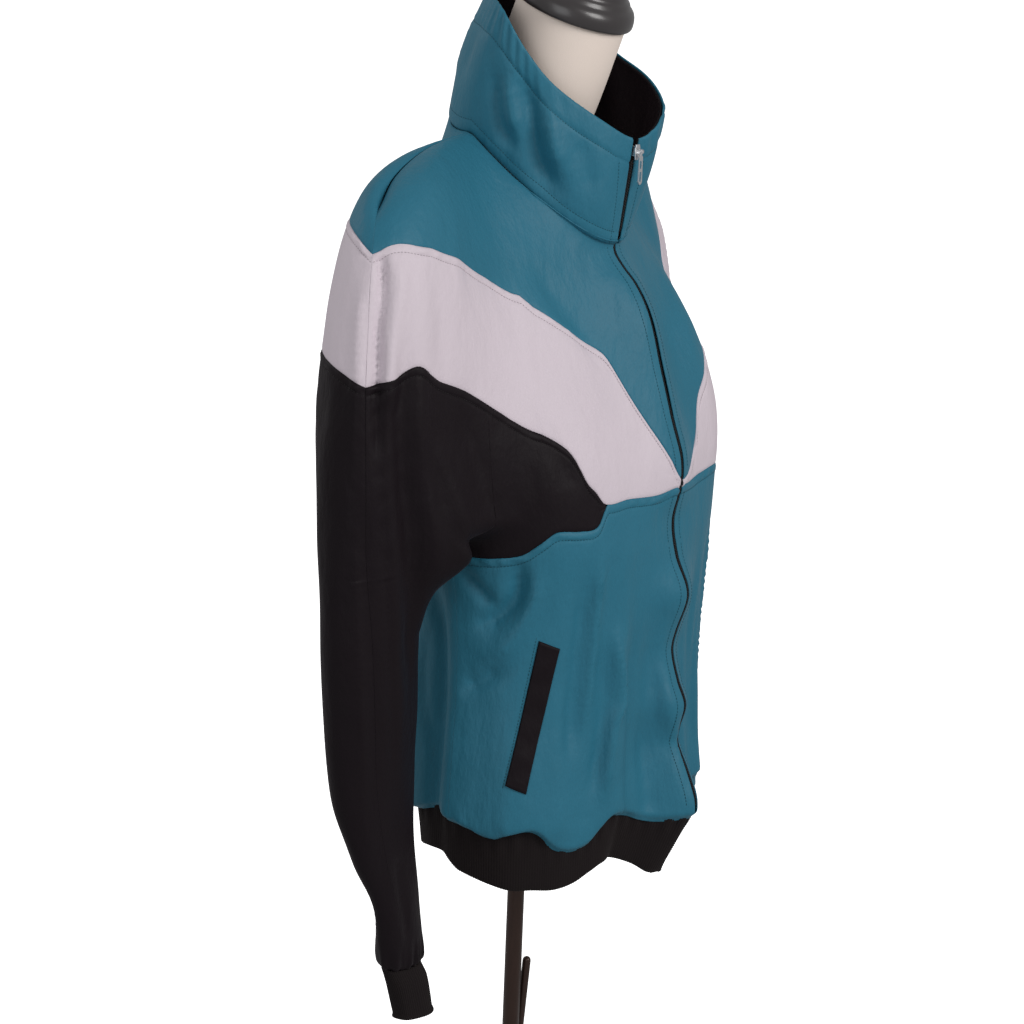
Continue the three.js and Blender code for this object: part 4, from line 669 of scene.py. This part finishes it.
for tag, side in (("right", 1), ("left", -1)):
    top_seam = FT if side > 0 else (lambda s: table(FRONT_TOP_LEFT, 1, s))
    s = stations(float(zip_s(np.array([.3]))[0]), OVER, False, .6, STEP, None)
    P, N, v, down, up = panel("yoke", s, top_seam(s), np.full_like(s, TOP_V), False, None, side, {'low_seam', 'seam', 'shoulder'}, top=np.array([0, .6, 1.6, 3.2]), low=LOW_EDGE)
    shell("cloth_yoke_front_" + tag, P, M_TEAL, ["yoke_front_" + tag])
    lines.append(("yoke_top_" + tag, P, N, down))
    s = stations(float(zip_s(np.array([.25]))[0]), OVER, False, .35, STEP, None)
    P, N, v, down, up = panel("band", s, FL(s), top_seam(s), False, None, side, {'seam', 'stitched', 'low_seam'})
    shell("cloth_band_front_" + tag, P, M_WHITE, ["band_front_" + tag])
    lines.append(("white_front_" + tag, P, N, down))
    for back in (False, True):
        tip, chest, low = TIP[back], (BC if back else FC), (BL if back else FL)
        sb = stations(tip + .002, 1.0, back, .03, STEP, False)
        sa = stations(1.0, OVER, back, -60, STEP, True)
        # upper rows, shared by the point on the body and the arm
        lo_b, lo_a = np.maximum(chest(sb), .0002), np.full_like(sa, .0002)
        vb, (db, ub) = edge_rows(sb, lo_b, low(sb), back, False, height=105)
        va, (da, ua) = edge_rows(sa, lo_a, low(sa), back, True, height=105, low=np.array([0, .5, 1.4, 3.0]))
        vu, (du, uu) = edge_rows(sa, np.full_like(sa, -(UNDERARM_Z - CUFF_Z)), np.full_like(sa, -.2), back, True, top=np.array([0, 3.0]))
        sl = "back" if back else "front"
        Pb, Nb = cloth(sb, vb, back, False, side, (db, np.where(ub < 4, ub + 0, ub), {'seam', 'stitched', 'low_seam'}))
        Pa, Na = cloth(sa, va, back, True, side, (da, ua, {'seam', 'stitched'}))
        Pu, Nu = cloth(sa, vu, back, True, side, (du + 30, uu, {'gather'}))
        n1 = vu.shape[1]
        top_part = np.concatenate([Pb, Pa])
        low_part = np.concatenate([np.repeat(Pb[:, :1], n1, 1), Pu])
        P = np.concatenate([low_part, top_part], 1)
        nb = len(sb)
        mask = np.ones((len(P) - 1, P.shape[1] - 1), bool)
        mask[:nb, :n1] = False
        N = np.concatenate([np.concatenate([np.repeat(Nb[:, :1], n1, 1), Nu]), np.concatenate([Nb, Na])], 1)
        ob = wall_mesh("cloth_sleeve_%s_%s" % (sl, tag), P, CLOTH_WALL, M_BLACK, mask, N=N)
        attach(ob, "root")
        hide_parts("sleeve_%s_%s" % (sl, tag))
        shells[ob.name] = ob
        lines.append(("black_%s_%s" % (sl, tag), top_part, np.concatenate([Nb, Na]), np.concatenate([db, da])))
    # body front
    s = stations(float(zip_s(np.array([-100.]))[0]), 1.0, False, -100, STEP, False)
    hi = np.where(s < TIP[False], FL(s), np.maximum(FC(s), .0002))
    lo = table(HEM_FRONT, 1, s) - UNDERARM_Z
    P, N, v, down, up = panel("body", s, lo, hi, False, False, side, {'seam', 'stitched', 'tuck'}, low=np.array([0, 1.2, 2.6, 4.2, 6.2, 9.0]))
    shell("cloth_body_front_" + tag, P, M_TEAL, ["body_front_" + tag])
    lines.append(("teal_front_" + tag, P, N, down))


def both(s_list, make):
    """a back piece over both halves"""
    R = make(1)
    Lf = make(-1)
    return [np.concatenate([a[::-1], b[1:]]) for a, b in zip(R, Lf)]


def back_panel(name, node, s, lo, hi, kind, mat, **kw):
    def make(side):
        P, N, v, down, up = panel(name, s, lo, hi, True, None, side, kind, **kw)
        return P, N, down
    P, N, down = both(s, make)
    mid = len(s) - 1
    for A in (P,):
        A[mid, :, 0] = 0
    shell(name, P, mat, [node])
    return P, N, down


s = stations(0, OVER, True, .7, STEP, None)
P, N, down = back_panel("cloth_yoke_back", "yoke_back", s, BT(s), np.full_like(s, TOP_V), {'low_seam', 'seam', 'shoulder'}, M_TEAL, top=np.array([0, .6, 1.6, 3.2]))
s = stations(0, OVER, True, .4, STEP, None)
P, N, down = back_panel("cloth_band_back", "band_back", s, BL(s), BT(s), {'seam', 'stitched', 'low_seam'}, M_WHITE)
lines.append(("white_back", P, N, down))
s = stations(0, 1.0, True, -100, STEP, False)
P, N, down = back_panel("cloth_body_back", "body_back", s, table(HEM_BACK, 1, s) - UNDERARM_Z, np.where(s < TIP[True], BL(s), np.maximum(BC(s), .0002)),
                        {'seam', 'stitched', 'tuck'}, M_TEAL, low=np.array([0, 1.2, 2.6, 4.2, 6.2, 9.0]))
lines.append(("teal_back", P, N, down))

# ---------------------------------------------------------------- rib hem band and cuffs
def ribs(k, pitch, depth, rows_n):
    """outward height of knitted ribs at lengths k"""
    return (depth * (np.abs(np.cos(np.pi * k / pitch)) ** .7 - .5))[:, None] * np.ones(rows_n)


w = np.linspace(0, 1, 2200)
t = np.concatenate([[0, .02], np.linspace(.06, .93, 14), [.965, .985, 1.0]])
half = {}
for back in (False, True):
    c = band_point(w, np.full_like(w, .5), back)
    k = np.concatenate([[0], np.cumsum(np.linalg.norm(np.diff(c, axis=0), axis=1))])
    start = 3.0 if not back else 0.0
    kk = np.arange(start, k[-1], .62)
    ww = np.interp(kk, k, w)
    half[back] = (ww, kk)
cols = [(x, False, 1) for x in half[False][0]] + [(x, True, 1) for x in half[True][0][::-1]]
cols = cols + [(x, b, -1) for x, b, _ in cols[::-1]][1:]
W, B, S = np.array([c[0] for c in cols]), np.array([c[1] for c in cols]), np.array([c[2] for c in cols])
T = np.broadcast_to(t, (len(cols), len(t)))
Pf, Pb = band_point(W[:, None], T, False), band_point(W[:, None], T, True)
P = np.where(B[:, None, None], Pb, Pf)
P[..., 0] *= S[:, None]
P = place(P)
N = grid_normals(P, np.array([0, -32, 360.0]))
k = np.concatenate([[0], np.cumsum(np.linalg.norm(np.diff(P[:, 8], axis=0), axis=1))])
round_low = -1.6 * ramp(.93, 1.0, T) ** 2
gath = .8 * np.sin(k / 15 * 2 * np.pi + 1.5 * np.sin(k / 40))[:, None] * (1 - ramp(.05, .6, T))
swell = 1.6 * np.sin(k / 95 + 1)[:, None] * ramp(0, 1, T) + .9 * np.sin(k / 37)[:, None] * ramp(0, .8, T)
P = P + N * (ribs(k, 2.5, .5, len(t)) + round_low + gath + swell)[..., None]
ob = shell("knit_hem_band", P, M_RIB, ["hem_band"], away=np.array([0, -32, 360.0]), wall=1.9)

for tag, side in (("right", 1), ("left", -1)):
    a = np.linspace(0, 2 * np.pi, 54 * 6, endpoint=False)
    z = np.concatenate([[CUFF_Z - .4], np.linspace(CUFF_Z - 3, CUFF_END_Z + 4, 20), [CUFF_END_Z + 1.8, CUFF_END_Z + .6, CUFF_END_Z]])
    A, Z = np.meshgrid(a, z, indexing='ij')
    P = np.stack([table(SLEEVE, 1, Z) + table(SLEEVE, 3, Z) * np.cos(A), table(SLEEVE, 2, Z) - table(SLEEVE, 4, Z) * np.sin(A), Z], -1)
    P = place(P, side)
    Q = np.concatenate([P[-2:], P, P[:2]])
    N = grid_normals(Q, P.reshape(-1, 3).mean(0))[2:-2]
    low = ramp(CUFF_END_Z + 4, CUFF_END_Z, Z)
    tight = 1.6 * ramp(CUFF_Z - 14, CUFF_Z, Z) - 1.3 * low ** 2
    fold = 1.3 * np.sin(A * 2 + .05 * Z) * ramp(CUFF_Z, CUFF_Z - 20, Z) + .5 * np.sin(A * 5 + 1)
    h = .55 * (np.abs(np.cos(A * 54 / 2)) ** .7 - .5)
    P = P + N * (h - tight + fold - .6)[..., None]
    ob = wall_mesh("knit_cuff_" + tag, P, 1.8, M_RIB, None, True, N=N)
    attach(ob, "root")
    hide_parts("cuff_" + tag)
    shells[ob.name] = ob

# ---------------------------------------------------------------- collar and its inside
half = np.concatenate([[2.3, 2.8, 3.6, 5], np.linspace(7, 178, 112)])
turn = np.concatenate([-half, [-180], half[::-1]])
down_mm = np.array([0, .5, 1.3, 2.6, 4.5, 8, 12, 16, 19.5, 21.2, 22.2, 23.2, 25.5])
height = 95.0
t = np.concatenate([[0, .006, .014, .03, .05, .075, .09, .105], np.linspace(.14, 1 - 29 / height, 18), 1 - down_mm[::-1] / height])
TT, AA = np.meshgrid(t, turn)
P = collar_point(AA, TT)
N = grid_normals(P, np.array([0, -5, 1020.0]))
top_mm = (1 - TT) * height
d = crease_field(P, CREASES_COLLAR) + .5 * drift(P)
ripple = np.sin(AA * np.pi / 180 * 84 / 13 * 2 * np.pi + 2.4 * drift(P, 0, 8))
strip = ramp(0, 2, top_mm) * (1 - ramp(19, 22, top_mm))
d = d + strip * (.3 + .85 * ripple * (.55 + .45 * np.sin(AA / 19.0))) - .8 * np.exp(-(((top_mm - 22.2) / 1.2) ** 2))
d = d - .8 * (1 - ramp(0, 2.2, top_mm)) ** 2                      # rolled top edge
d = d - .6 * np.exp(-((TT * height / 1.4) ** 2)) - .35 * np.exp(-(((TT * height - 8.6) / .9) ** 2))
band_cf = np.exp(-(((np.abs(AA) - 9.5) / 1.1) ** 2)) * (top_mm > 14)
d = d - .45 * band_cf
P = P + N * d[..., None]
low_left = ramp(46, 66, np.abs(AA)) * (1 - ramp(108, 135, np.abs(AA))) * (P[..., 0] > 0) * (1 - ramp(0, 28, TT * height))
P = P + (N * 3.9 - np.array([0, 0, 2.8])) * low_left[..., None]      # the base spreads onto the left yoke
tuck = P[:, :1] - N[:, :1] * 1.6 - np.array([0, 0, 3.2])             # seam allowance under the yokes
P, N, top_mm = np.concatenate([tuck, P], 1), np.concatenate([N[:, :1], N], 1), np.concatenate([top_mm[:, :1] + 3, top_mm], 1)
TT, AA, t = np.concatenate([TT[:, :1] - .03, TT], 1), np.concatenate([AA[:, :1], AA], 1), np.concatenate([[-.03], t])
shell("cloth_collar", P, M_TEAL, ["collar"], away=np.array([0, -5, 1020.0]), wall=1.5)
lines.append(("collar", P, N, top_mm))
COLLAR_GRID = (P, N, turn, t, top_mm)
half = np.concatenate([[2.6, 3.4], np.linspace(5, 178, 84)])
turn2 = np.concatenate([-half, [-180], half[::-1]])
t2 = np.linspace(.03, .985, 34)
TT, AA = np.meshgrid(t2, turn2)
P2 = collar_point(AA, TT)
N2 = grid_normals(P2, np.array([0, -5, 1020.0]))
P2 = P2 + N2 * (crease_field(P2, CREASES_COLLAR) * .9 + .5 * drift(P2) - 2.4 - .9 * ramp(.93, 1, TT))[..., None]
shell("cloth_collar_facing", P2, M_BLACK, ["collar_facing"], away=np.array([0, -5, 1020.0]), wall=1.0)

# ---------------------------------------------------------------- pocket welts
for tag, side in (("right", 1), ("left", -1)):
    i = np.concatenate([[0, .02, .06, .12], np.linspace(.2, .8, 9), [.88, .94, .98, 1]])
    j = np.concatenate([[0, .004, .012, .025], np.linspace(.05, .95, 46), [.975, .988, .996, 1]])
    I, J = np.meshgrid(i, j, indexing='ij')
    s = (1 - I) * WELT['s0'] + I * WELT['s1'] + WELT['lean'] * (1 - J)
    v = (1 - J) * WELT['z0'] + J * WELT['z1'] - UNDERARM_Z + 8 * (I - .5)
    base = place(surface(s, v, False, False), side)
    N = grid_normals(base, np.array([0, 0, 500.0]))
    base, _ = lifted(base, N)
    di, dj = np.minimum(I, 1 - I) * 22, np.minimum(J, 1 - J) * 150
    e = np.minimum(di, dj)
    rise = .25 + 1.9 * np.clip(e / 1.1, 0, 1) ** .5 - .35 * np.exp(-(((e - 3.2) / .7) ** 2)) + .25 * np.sin(J * 31 + I * 2) * np.clip(e / 3, 0, 1)
    P = base + N * rise[..., None]
    ob = wall_mesh("pocket_welt_cloth_" + tag, P, 1, M_BLACK, None, inner=base - N * .2, N=N)
    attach(ob, "root")
    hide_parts("pocket_welt_" + tag)
    shells[ob.name] = ob


# ---------------------------------------------------------------- stitching
def welt_frame(side, out=2.6):
    """the stitch line round a pocket welt, on the front"""
    ks = out / 280.0
    s, z = [], []
    for (i0, j0), (i1, j1) in (((1, 0), (1, 1)), ((1, 1), (0, 1))):
        f = np.linspace(0, 1, 60)
        I, J = i0 + (i1 - i0) * f, j0 + (j1 - j0) * f
        s.append(WELT['s0'] - ks + I * (WELT['s1'] - WELT['s0'] + 2 * ks) + WELT['lean'] * (1 - J))
        z.append(WELT['z0'] - out + J * (WELT['z1'] - WELT['z0'] + 2 * out) + 8 * (I - .5))
    s, z = np.concatenate(s), np.concatenate(z)
    g = place(np.stack([surface(s + d, z - UNDERARM_Z, False, False) for d in (-.004, 0, .004)]), side)
    N = grid_normals(g, np.array([0, 0, 500.0]))
    g, _ = lifted(g, N)
    return g[1], N[1]


def stitches(name, paths, mat, pitch=3.0, length=2.1, r=.27):
    """a row of small thread stitches along each path of (points, normals)"""
    V, F = [], []
    ring = [(1, 0), (0, 1), (-1, 0), (0, -1)]
    for pts, nrm in paths:
        k = np.concatenate([[0], np.cumsum(np.linalg.norm(np.diff(pts, axis=0), axis=1))])
        m = np.arange(pitch * .5, k[-1] - pitch * .5, pitch)
        for c in m:
            a, b = c - length / 2, c + length / 2
            at = lambda u: np.array([np.interp(u, k, pts[:, x]) for x in range(3)])
            n = np.array([np.interp(c, k, nrm[:, x]) for x in range(3)])
            p, q = at(a), at(b)
            d = q - p
            L = np.linalg.norm(d)
            if L < .5:
                continue
            d /= L
            n -= d * (n @ d)
            n /= max(np.linalg.norm(n), 1e-6)
            side = np.cross(d, n)
            base = len(V)
            for f, rr in ((0, .45), (.22, 1.0), (.78, 1.0), (1, .45)):
                o = p + (q - p) * f + n * (r * .55 * (1 if .1 < f < .9 else -.2))
                for u, w_ in ring:
                    V.append(o + (side * u * 1.15 + n * w_) * r * rr)
            for g in range(3):
                for e in range(4):
                    x, y = base + g * 4 + e, base + g * 4 + (e + 1) % 4
                    F.append((x, y, y + 4, x + 4))
            F.append((base + 3, base + 2, base + 1, base))
            F.append((base + 12, base + 13, base + 14, base + 15))
    ob = mesh_object(name, np.array(V) / 1000, np.array(F), mat)
    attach(ob, "root")
    return ob


def level(P, N, down, d):
    """the line at distance d below a panel's upper edge"""
    out, nn = [], []
    for i in range(len(P)):
        if down[i].max() < d + 3:
            continue
        o = np.argsort(down[i])
        out.append([np.interp(d, down[i][o], P[i, o, c]) for c in range(3)])
        nn.append([np.interp(d, down[i][o], N[i, o, c]) for c in range(3)])
    return np.array(out), np.array(nn)


by = {n: (P, N, d) for n, P, N, d in lines}
white, black, teal = [], [], []
for n, (P, N, d) in by.items():
    if n == "collar":
        continue
    if n.startswith("yoke"):
        continue
    (white if n.startswith("white") else black if n.startswith("black") else teal).append(level(P, N, d, 7.5))
P, N, _ = by["collar"]
A = COLLAR_GRID[2]
keep = np.abs(A) > 10.5
teal.append(level(P[keep], N[keep], by["collar"][2][keep], 22.2))
keep = np.abs(A) > 6
teal.append(level(P[keep], N[keep], (95.0 - by["collar"][2])[keep], 8.6))
for sgn in (-1, 1):
    i = int(np.argmin(np.abs(A - sgn * 9.5)))
    m = (by["collar"][2][i] > 22.5)
    teal.append((P[i][m], N[i][m]))
for tag in ("right", "left"):
    side = 1 if tag == "right" else -1
    for zone, lo, hi in (("body", -240, -1), ("low", .004, .232), ("top", .285, .985)):
        v = np.linspace(lo, hi, 160)
        d = .004
        a, b = surface(np.zeros_like(v), v, False, False), surface(np.full_like(v, d), v, False, False)
        s9 = 10.5 * d / np.maximum(np.linalg.norm(a - b, axis=-1), 1e-6)
        g = np.stack([surface(s9 * f, v, False, False) for f in (.8, 1, 1.2)])
        g = place(g, side)
        N = grid_normals(g, np.array([0, 0, g[..., 2].mean()]))
        g, _ = lifted(g, N)
        (teal).append((g[1], N[1]))
    teal.append(welt_frame(side))
stitches("topstitch_teal", teal, M_THREAD_TEAL)
stitches("topstitch_white", white, M_THREAD_WHITE, r=.24)
stitches("topstitch_black", black, M_THREAD_BLACK)

# ---------------------------------------------------------------- zip
def centre_line():
    """points down centre front from the hem band to the collar's top, with the outward normal"""
    pts = [band_point(np.zeros(1), np.array([x]), False)[0] for x in np.linspace(1, .1, 14)]
    pts += list(surface(np.zeros(120), np.linspace(-246, -1, 120), False, np.zeros(120, bool)))
    pts += list(surface(np.zeros(120), np.linspace(0.004, .985, 120), False, np.zeros(120, bool)))
    pts += list(collar_point(np.zeros(30), np.linspace(.06, .8, 30)))
    p = np.array(pts)
    keep = [0]
    for i in range(1, len(p)):
        if p[i, 2] > p[keep[-1], 2] + .8:
            keep.append(i)
    p = p[keep]
    p[:, 1] = np.convolve(np.pad(p[:, 1], 3, 'edge'), np.ones(7) / 7, 'valid')
    d = np.gradient(p, axis=0)
    d /= np.linalg.norm(d, axis=1, keepdims=True)
    n = np.stack([0 * d[:, 0], -d[:, 2], d[:, 1]], 1)
    n *= np.where(n[:, 1:2] > 0, -1, 1)
    return p, d, n


cp, cd, cn = centre_line()
ck = np.concatenate([[0], np.cumsum(np.linalg.norm(np.diff(cp, axis=0), axis=1))])
u = np.arange(0, ck[-1], 2.0)
mid = np.stack([np.interp(u, ck, cp[:, c]) for c in range(3)], 1)
nn = np.stack([np.interp(u, ck, cn[:, c]) for c in range(3)], 1)
x = np.array([-2.5, -2.2, -1.0, 0, 1.0, 2.2, 2.5])
P = mid[None] + np.stack([x, 0 * x, 0 * x], 1)[:, None, :] - nn[None] * (1.0 + .35 * (np.abs(x) > 2.3))[:, None, None]
ob = wall_mesh("zip_chain", P, .9, M_TAPE, None, N=np.repeat(nn[None], 7, 0))
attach(ob, "root")
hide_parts("zip_coil")
V, F = [], []
BOX = [(0, 1, 3, 2), (4, 6, 7, 5), (0, 4, 5, 1), (2, 3, 7, 6), (0, 2, 6, 4), (1, 5, 7, 3)]
for i, c in enumerate(np.arange(1, ck[-1] - 1, 1.15)):
    p = np.array([np.interp(c, ck, cp[:, q]) for q in range(3)])
    n = np.array([np.interp(c, ck, cn[:, q]) for q in range(3)])
    d = np.array([np.interp(c, ck, cd[:, q]) for q in range(3)])
    off = .55 if i % 2 else -.55
    b = len(V)
    for sx in (-1, 1):
        for sd in (-1, 1):
            for sn in (0, 1):
                V.append(p + np.array([off + sx * (1.0 - .15 * sn), 0, 0]) + d * sd * (.42 - .1 * sn) + n * (-1.1 + .95 * sn))
    F += [tuple(b + q for q in f) for f in BOX]
ob = mesh_object("zip_teeth", np.array(V) / 1000, np.array(F), M_TEETH, smooth=False)
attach(ob, "root")
for tag, side in (("right", 1), ("left", -1)):
    x = np.array([2.0, 4.0, 7.0, 10.5])
    m = mid[:, 2] < 925
    P = mid[None, m] + np.stack([-x * side, 0 * x, 0 * x], 1)[:, None, :] - nn[None, m] * (2.6 + 0 * x)[:, None, None] + np.array([0, 1, 0]) * (x ** 2 * .02)[:, None, None]
    ob = wall_mesh("zip_tape_cloth_" + tag, P, .6, M_TAPE, None, N=np.repeat(nn[None, m], 4, 0))
    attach(ob, "root")
    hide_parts("zip_tape_" + tag)


def soft_copy(node, name, mat, width=.00025, body="root", segments=2):
    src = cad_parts[node]
    me = src.data.copy()
    ob = bpy.data.objects.new(name, me)
    bpy.context.scene.collection.objects.link(ob)
    ob.matrix_world = src.matrix_world.copy()
    me.materials.clear()
    me.materials.append(mat)
    import bmesh
    bm = bmesh.new()
    bm.from_mesh(me)
    bmesh.ops.remove_doubles(bm, verts=bm.verts, dist=2e-6)
    bmesh.ops.dissolve_limit(bm, angle_limit=math.radians(2), verts=bm.verts, edges=bm.edges)
    bm.to_mesh(me)
    bm.free()
    me.polygons.foreach_set("use_smooth", [True] * len(me.polygons))
    b = ob.modifiers.new("soft_edges", 'BEVEL')
    b.width = width
    b.segments = segments
    b.limit_method = 'ANGLE'
    b.angle_limit = math.radians(35)
    b.harden_normals = True
    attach(ob, body)
    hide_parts(node)
    return ob


soft_copy("zip_slider", "slider_body", M_METAL, .0003)
soft_copy("zip_pull", "pull_tab", M_METAL, .00022, "pull")

# ---------------------------------------------------------------- dress form
def ring_mesh(name, list_of_rings, mat, node):
    R = np.array(list_of_rings)
    n = R.shape[1]
    V = [p for r in R for p in r]
    F = []
    for k in range(len(R) - 1):
        for i in range(n):
            a, b = k * n + i, k * n + (i + 1) % n
            F.append((a, b, b + n, a + n))
    V.append(R[0].mean(0))
    V.append(R[-1].mean(0))
    lo, hi = len(V) - 2, len(V) - 1
    tri = [(lo, (i + 1) % n, i) for i in range(n)] + [(hi, (len(R) - 1) * n + i, (len(R) - 1) * n + (i + 1) % n) for i in range(n)]
    me = bpy.data.meshes.new(name)
    me.from_pydata((np.array(V) / 1000).tolist(), [], [tuple(int(x) for x in f) for f in F + tri])
    me.validate()
    me.polygons.foreach_set("use_smooth", [True] * len(me.polygons))
    ob = bpy.data.objects.new(name, me)
    bpy.context.scene.collection.objects.link(ob)
    me.materials.append(mat)
    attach(ob, "root")
    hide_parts(node)
    return ob


# dress form sections:  z, halfWidth, frontY, backY
FORM = [
    (402, 146, -112, 46), (420, 150, -116, 50), (470, 146, -114, 50), (530, 132, -110, 50), (600, 128, -112, 56),
    (660, 140, -120, 68), (720, 156, -122, 80), (760, 159, -108, 84), (800, 160, -92, 86), (840, 160, -76, 86),
    (880, 160, -56, 84), (910, 158, -37, 80), (930, 153, -25, 75), (950, 145, -10, 68), (965, 133, 0, 60),
    (977, 117, 10, 52), (985, 98, 17, 45)]
NECK_STUB = [(880, 30, 64), (930, 28, 60), (965, 25, 55), (1000, 19, 52)]        # z, centreY, radius
NECK_FORM = dict(y=19, z=1000.3, topY=-22, topZ=1112, r=51)
a = np.linspace(0, 2 * np.pi, 96, endpoint=False)
R = []
zs = np.concatenate([np.linspace(402, 985, 90)])
R.append([(f * table(FORM, 1, 402) * np.sin(t), (table(FORM, 2, 402) + table(FORM, 3, 402)) / 2 - f * (table(FORM, 3, 402) - table(FORM, 2, 402)) / 2 * np.cos(t), 402.0) for f in (.985,) for t in a])
for z in zs[1:]:
    hw, yf, yb = table(FORM, 1, z), table(FORM, 2, z), table(FORM, 3, z)
    R.append([(hw * np.sin(t), (yf + yb) / 2 - (yb - yf) / 2 * np.cos(t), z) for t in a])
for z in np.linspace(986, 1000, 5):
    y, r = table(NECK_STUB, 1, z), table(NECK_STUB, 2, z)
    R.append([(r * np.sin(t), y - r * np.cos(t), z) for t in a])
ring_mesh("form_torso_cover", R, M_LINEN, "form_torso")
lean = math.atan2(NECK_FORM['y'] - NECK_FORM['topY'], NECK_FORM['topZ'] - NECK_FORM['z'])
R = []
for t in np.linspace(0, 1, 40):
    rr = NECK_FORM['r'] + (1 - t) ** 2 - t
    tilt = lean * min(1, t / .7)
    R.append([(rr * np.sin(q), (1 - t) * NECK_FORM['y'] + t * NECK_FORM['topY'] + rr * np.cos(q) * math.cos(tilt),
               (1 - t) * NECK_FORM['z'] + t * NECK_FORM['topZ'] + rr * np.cos(q) * math.sin(tilt)) for q in a])
ring_mesh("form_neck_cover", R, M_LINEN, "form_neck")
PROFILE = [(1, 0.4), (50.5, 0.4), (52.6, .45), (53.8, .9), (54.7, 2.2), (55, 3.6), (54.9, 6.5), (54.5, 9.5), (53.6, 12.5), (52.2, 15.2), (50.2, 17.2), (48.3, 18.6), (47.2, 20), (46.2, 22),
           (44.6, 23.6), (43.2, 24.6), (42.4, 26.5), (41.8, 29), (40.4, 31), (37.5, 33.2), (32, 35), (24, 36.8), (14, 38.1), (6, 38.5), (1, 38.6)]
M = Matrix.Translation((0, NECK_FORM['topY'], NECK_FORM['topZ'])) @ Matrix.Rotation(lean, 4, 'X')
R = []
for r, h in PROFILE:
    R.append([tuple(M @ Vector((r * math.sin(q), r * math.cos(q), h))) for q in np.linspace(0, 2 * np.pi, 128, endpoint=False)])
ring_mesh("neck_cap_shell", R, M_CAP, "neck_cap")
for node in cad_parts:
    if node in ("pole", "hub", "side_rod") or node.startswith("leg_"):
        soft_copy(node, node + "_enamel", M_STEEL, .0006)
    elif node.startswith("foot_"):
        soft_copy(node, node + "_rubber", M_FOOT, .0012)

# ---------------------------------------------------------------- stage, camera and light
def plane(name, size, mat, at=(0, 0, 0)):
    me = bpy.data.meshes.new(name)
    h = size / 2
    me.from_pydata([(-h, -h, 0), (h, -h, 0), (h, h, 0), (-h, h, 0)], [], [(0, 1, 2, 3)])
    ob = bpy.data.objects.new(name, me)
    ob.location = at
    bpy.context.scene.collection.objects.link(ob)
    me.materials.append(mat)
    return ob


M_FLOOR = bpy.data.materials.new("floor")
M_FLOOR.use_nodes = True
bs = M_FLOOR.node_tree.nodes["Principled BSDF"]
bs.inputs["Base Color"].default_value = (.9, .9, .9, 1)
bs.inputs["Roughness"].default_value = .9
bs.inputs["Emission Color"].default_value = (1, 1, 1, 1)
bs.inputs["Emission Strength"].default_value = 1.0
floor = plane("floor", 80, M_FLOOR)
floor.visible_diffuse = floor.visible_glossy = floor.visible_shadow = False

world = bpy.data.worlds.new("studio") if not bpy.context.scene.world else bpy.context.scene.world
bpy.context.scene.world = world
world.use_nodes = True
bg = world.node_tree.nodes["Background"]
bg.inputs["Color"].default_value = (1, 1, 1, 1)
bg.inputs["Strength"].default_value = .34


def area(name, at, aim, size, power, colour=(1, 1, 1)):
    l = bpy.data.lights.new(name, 'AREA')
    l.shape = 'RECTANGLE'
    l.size, l.size_y = size
    l.energy = power
    l.color = colour
    ob = bpy.data.objects.new(name, l)
    ob.location = at
    ob.rotation_euler = (Vector(aim) - Vector(at)).to_track_quat('-Z', 'Y').to_euler()
    bpy.context.scene.collection.objects.link(ob)
    return ob


area("window", (-.5, -3.3, 2.5), (0, 0, .8), (1.5, 1.7), 66, (1, .985, .97))
area("fill", (-3.0, -.6, 1.6), (0, 0, .7), (1.6, 1.8), 15, (.97, .99, 1))
area("rim", (-.6, 2.6, 2.2), (0, 0, .8), (1.8, 1.2), 12)

A, D, H, PITCH, FOCAL, ROLL, YAW = math.radians(60), 2.9, 1.328, math.radians(13.1), 3245.0, math.radians(2.2), math.radians(.344)
hx, hy = math.sin(A), math.cos(A)
hx, hy = hx * math.cos(YAW) - hy * math.sin(YAW), hx * math.sin(YAW) + hy * math.cos(YAW)
fwd = Vector((hx * math.cos(PITCH), hy * math.cos(PITCH), -math.sin(PITCH)))
right = Vector((hy, -hx, 0))
up = right.cross(fwd)
cr = right * math.cos(ROLL) + up * math.sin(ROLL)
cu = -right * math.sin(ROLL) + up * math.cos(ROLL)
cam = bpy.data.cameras.new("camera")
cam.lens = FOCAL * 36.0 / 1024.0
cam.sensor_width = 36.0
cam.clip_end = 100
co = bpy.data.objects.new("camera", cam)
co.matrix_world = Matrix(((cr.x, cu.x, -fwd.x, -D * math.sin(A)), (cr.y, cu.y, -fwd.y, -D * math.cos(A)), (cr.z, cu.z, -fwd.z, H), (0, 0, 0, 1)))
bpy.context.scene.collection.objects.link(co)
sc = bpy.context.scene
sc.camera = co
sc.view_settings.view_transform = 'Standard'
sc.view_settings.look = 'None'
sc.view_settings.exposure = 0
sc.render.resolution_x = sc.render.resolution_y = 1024

bpy.context.view_layer.update()
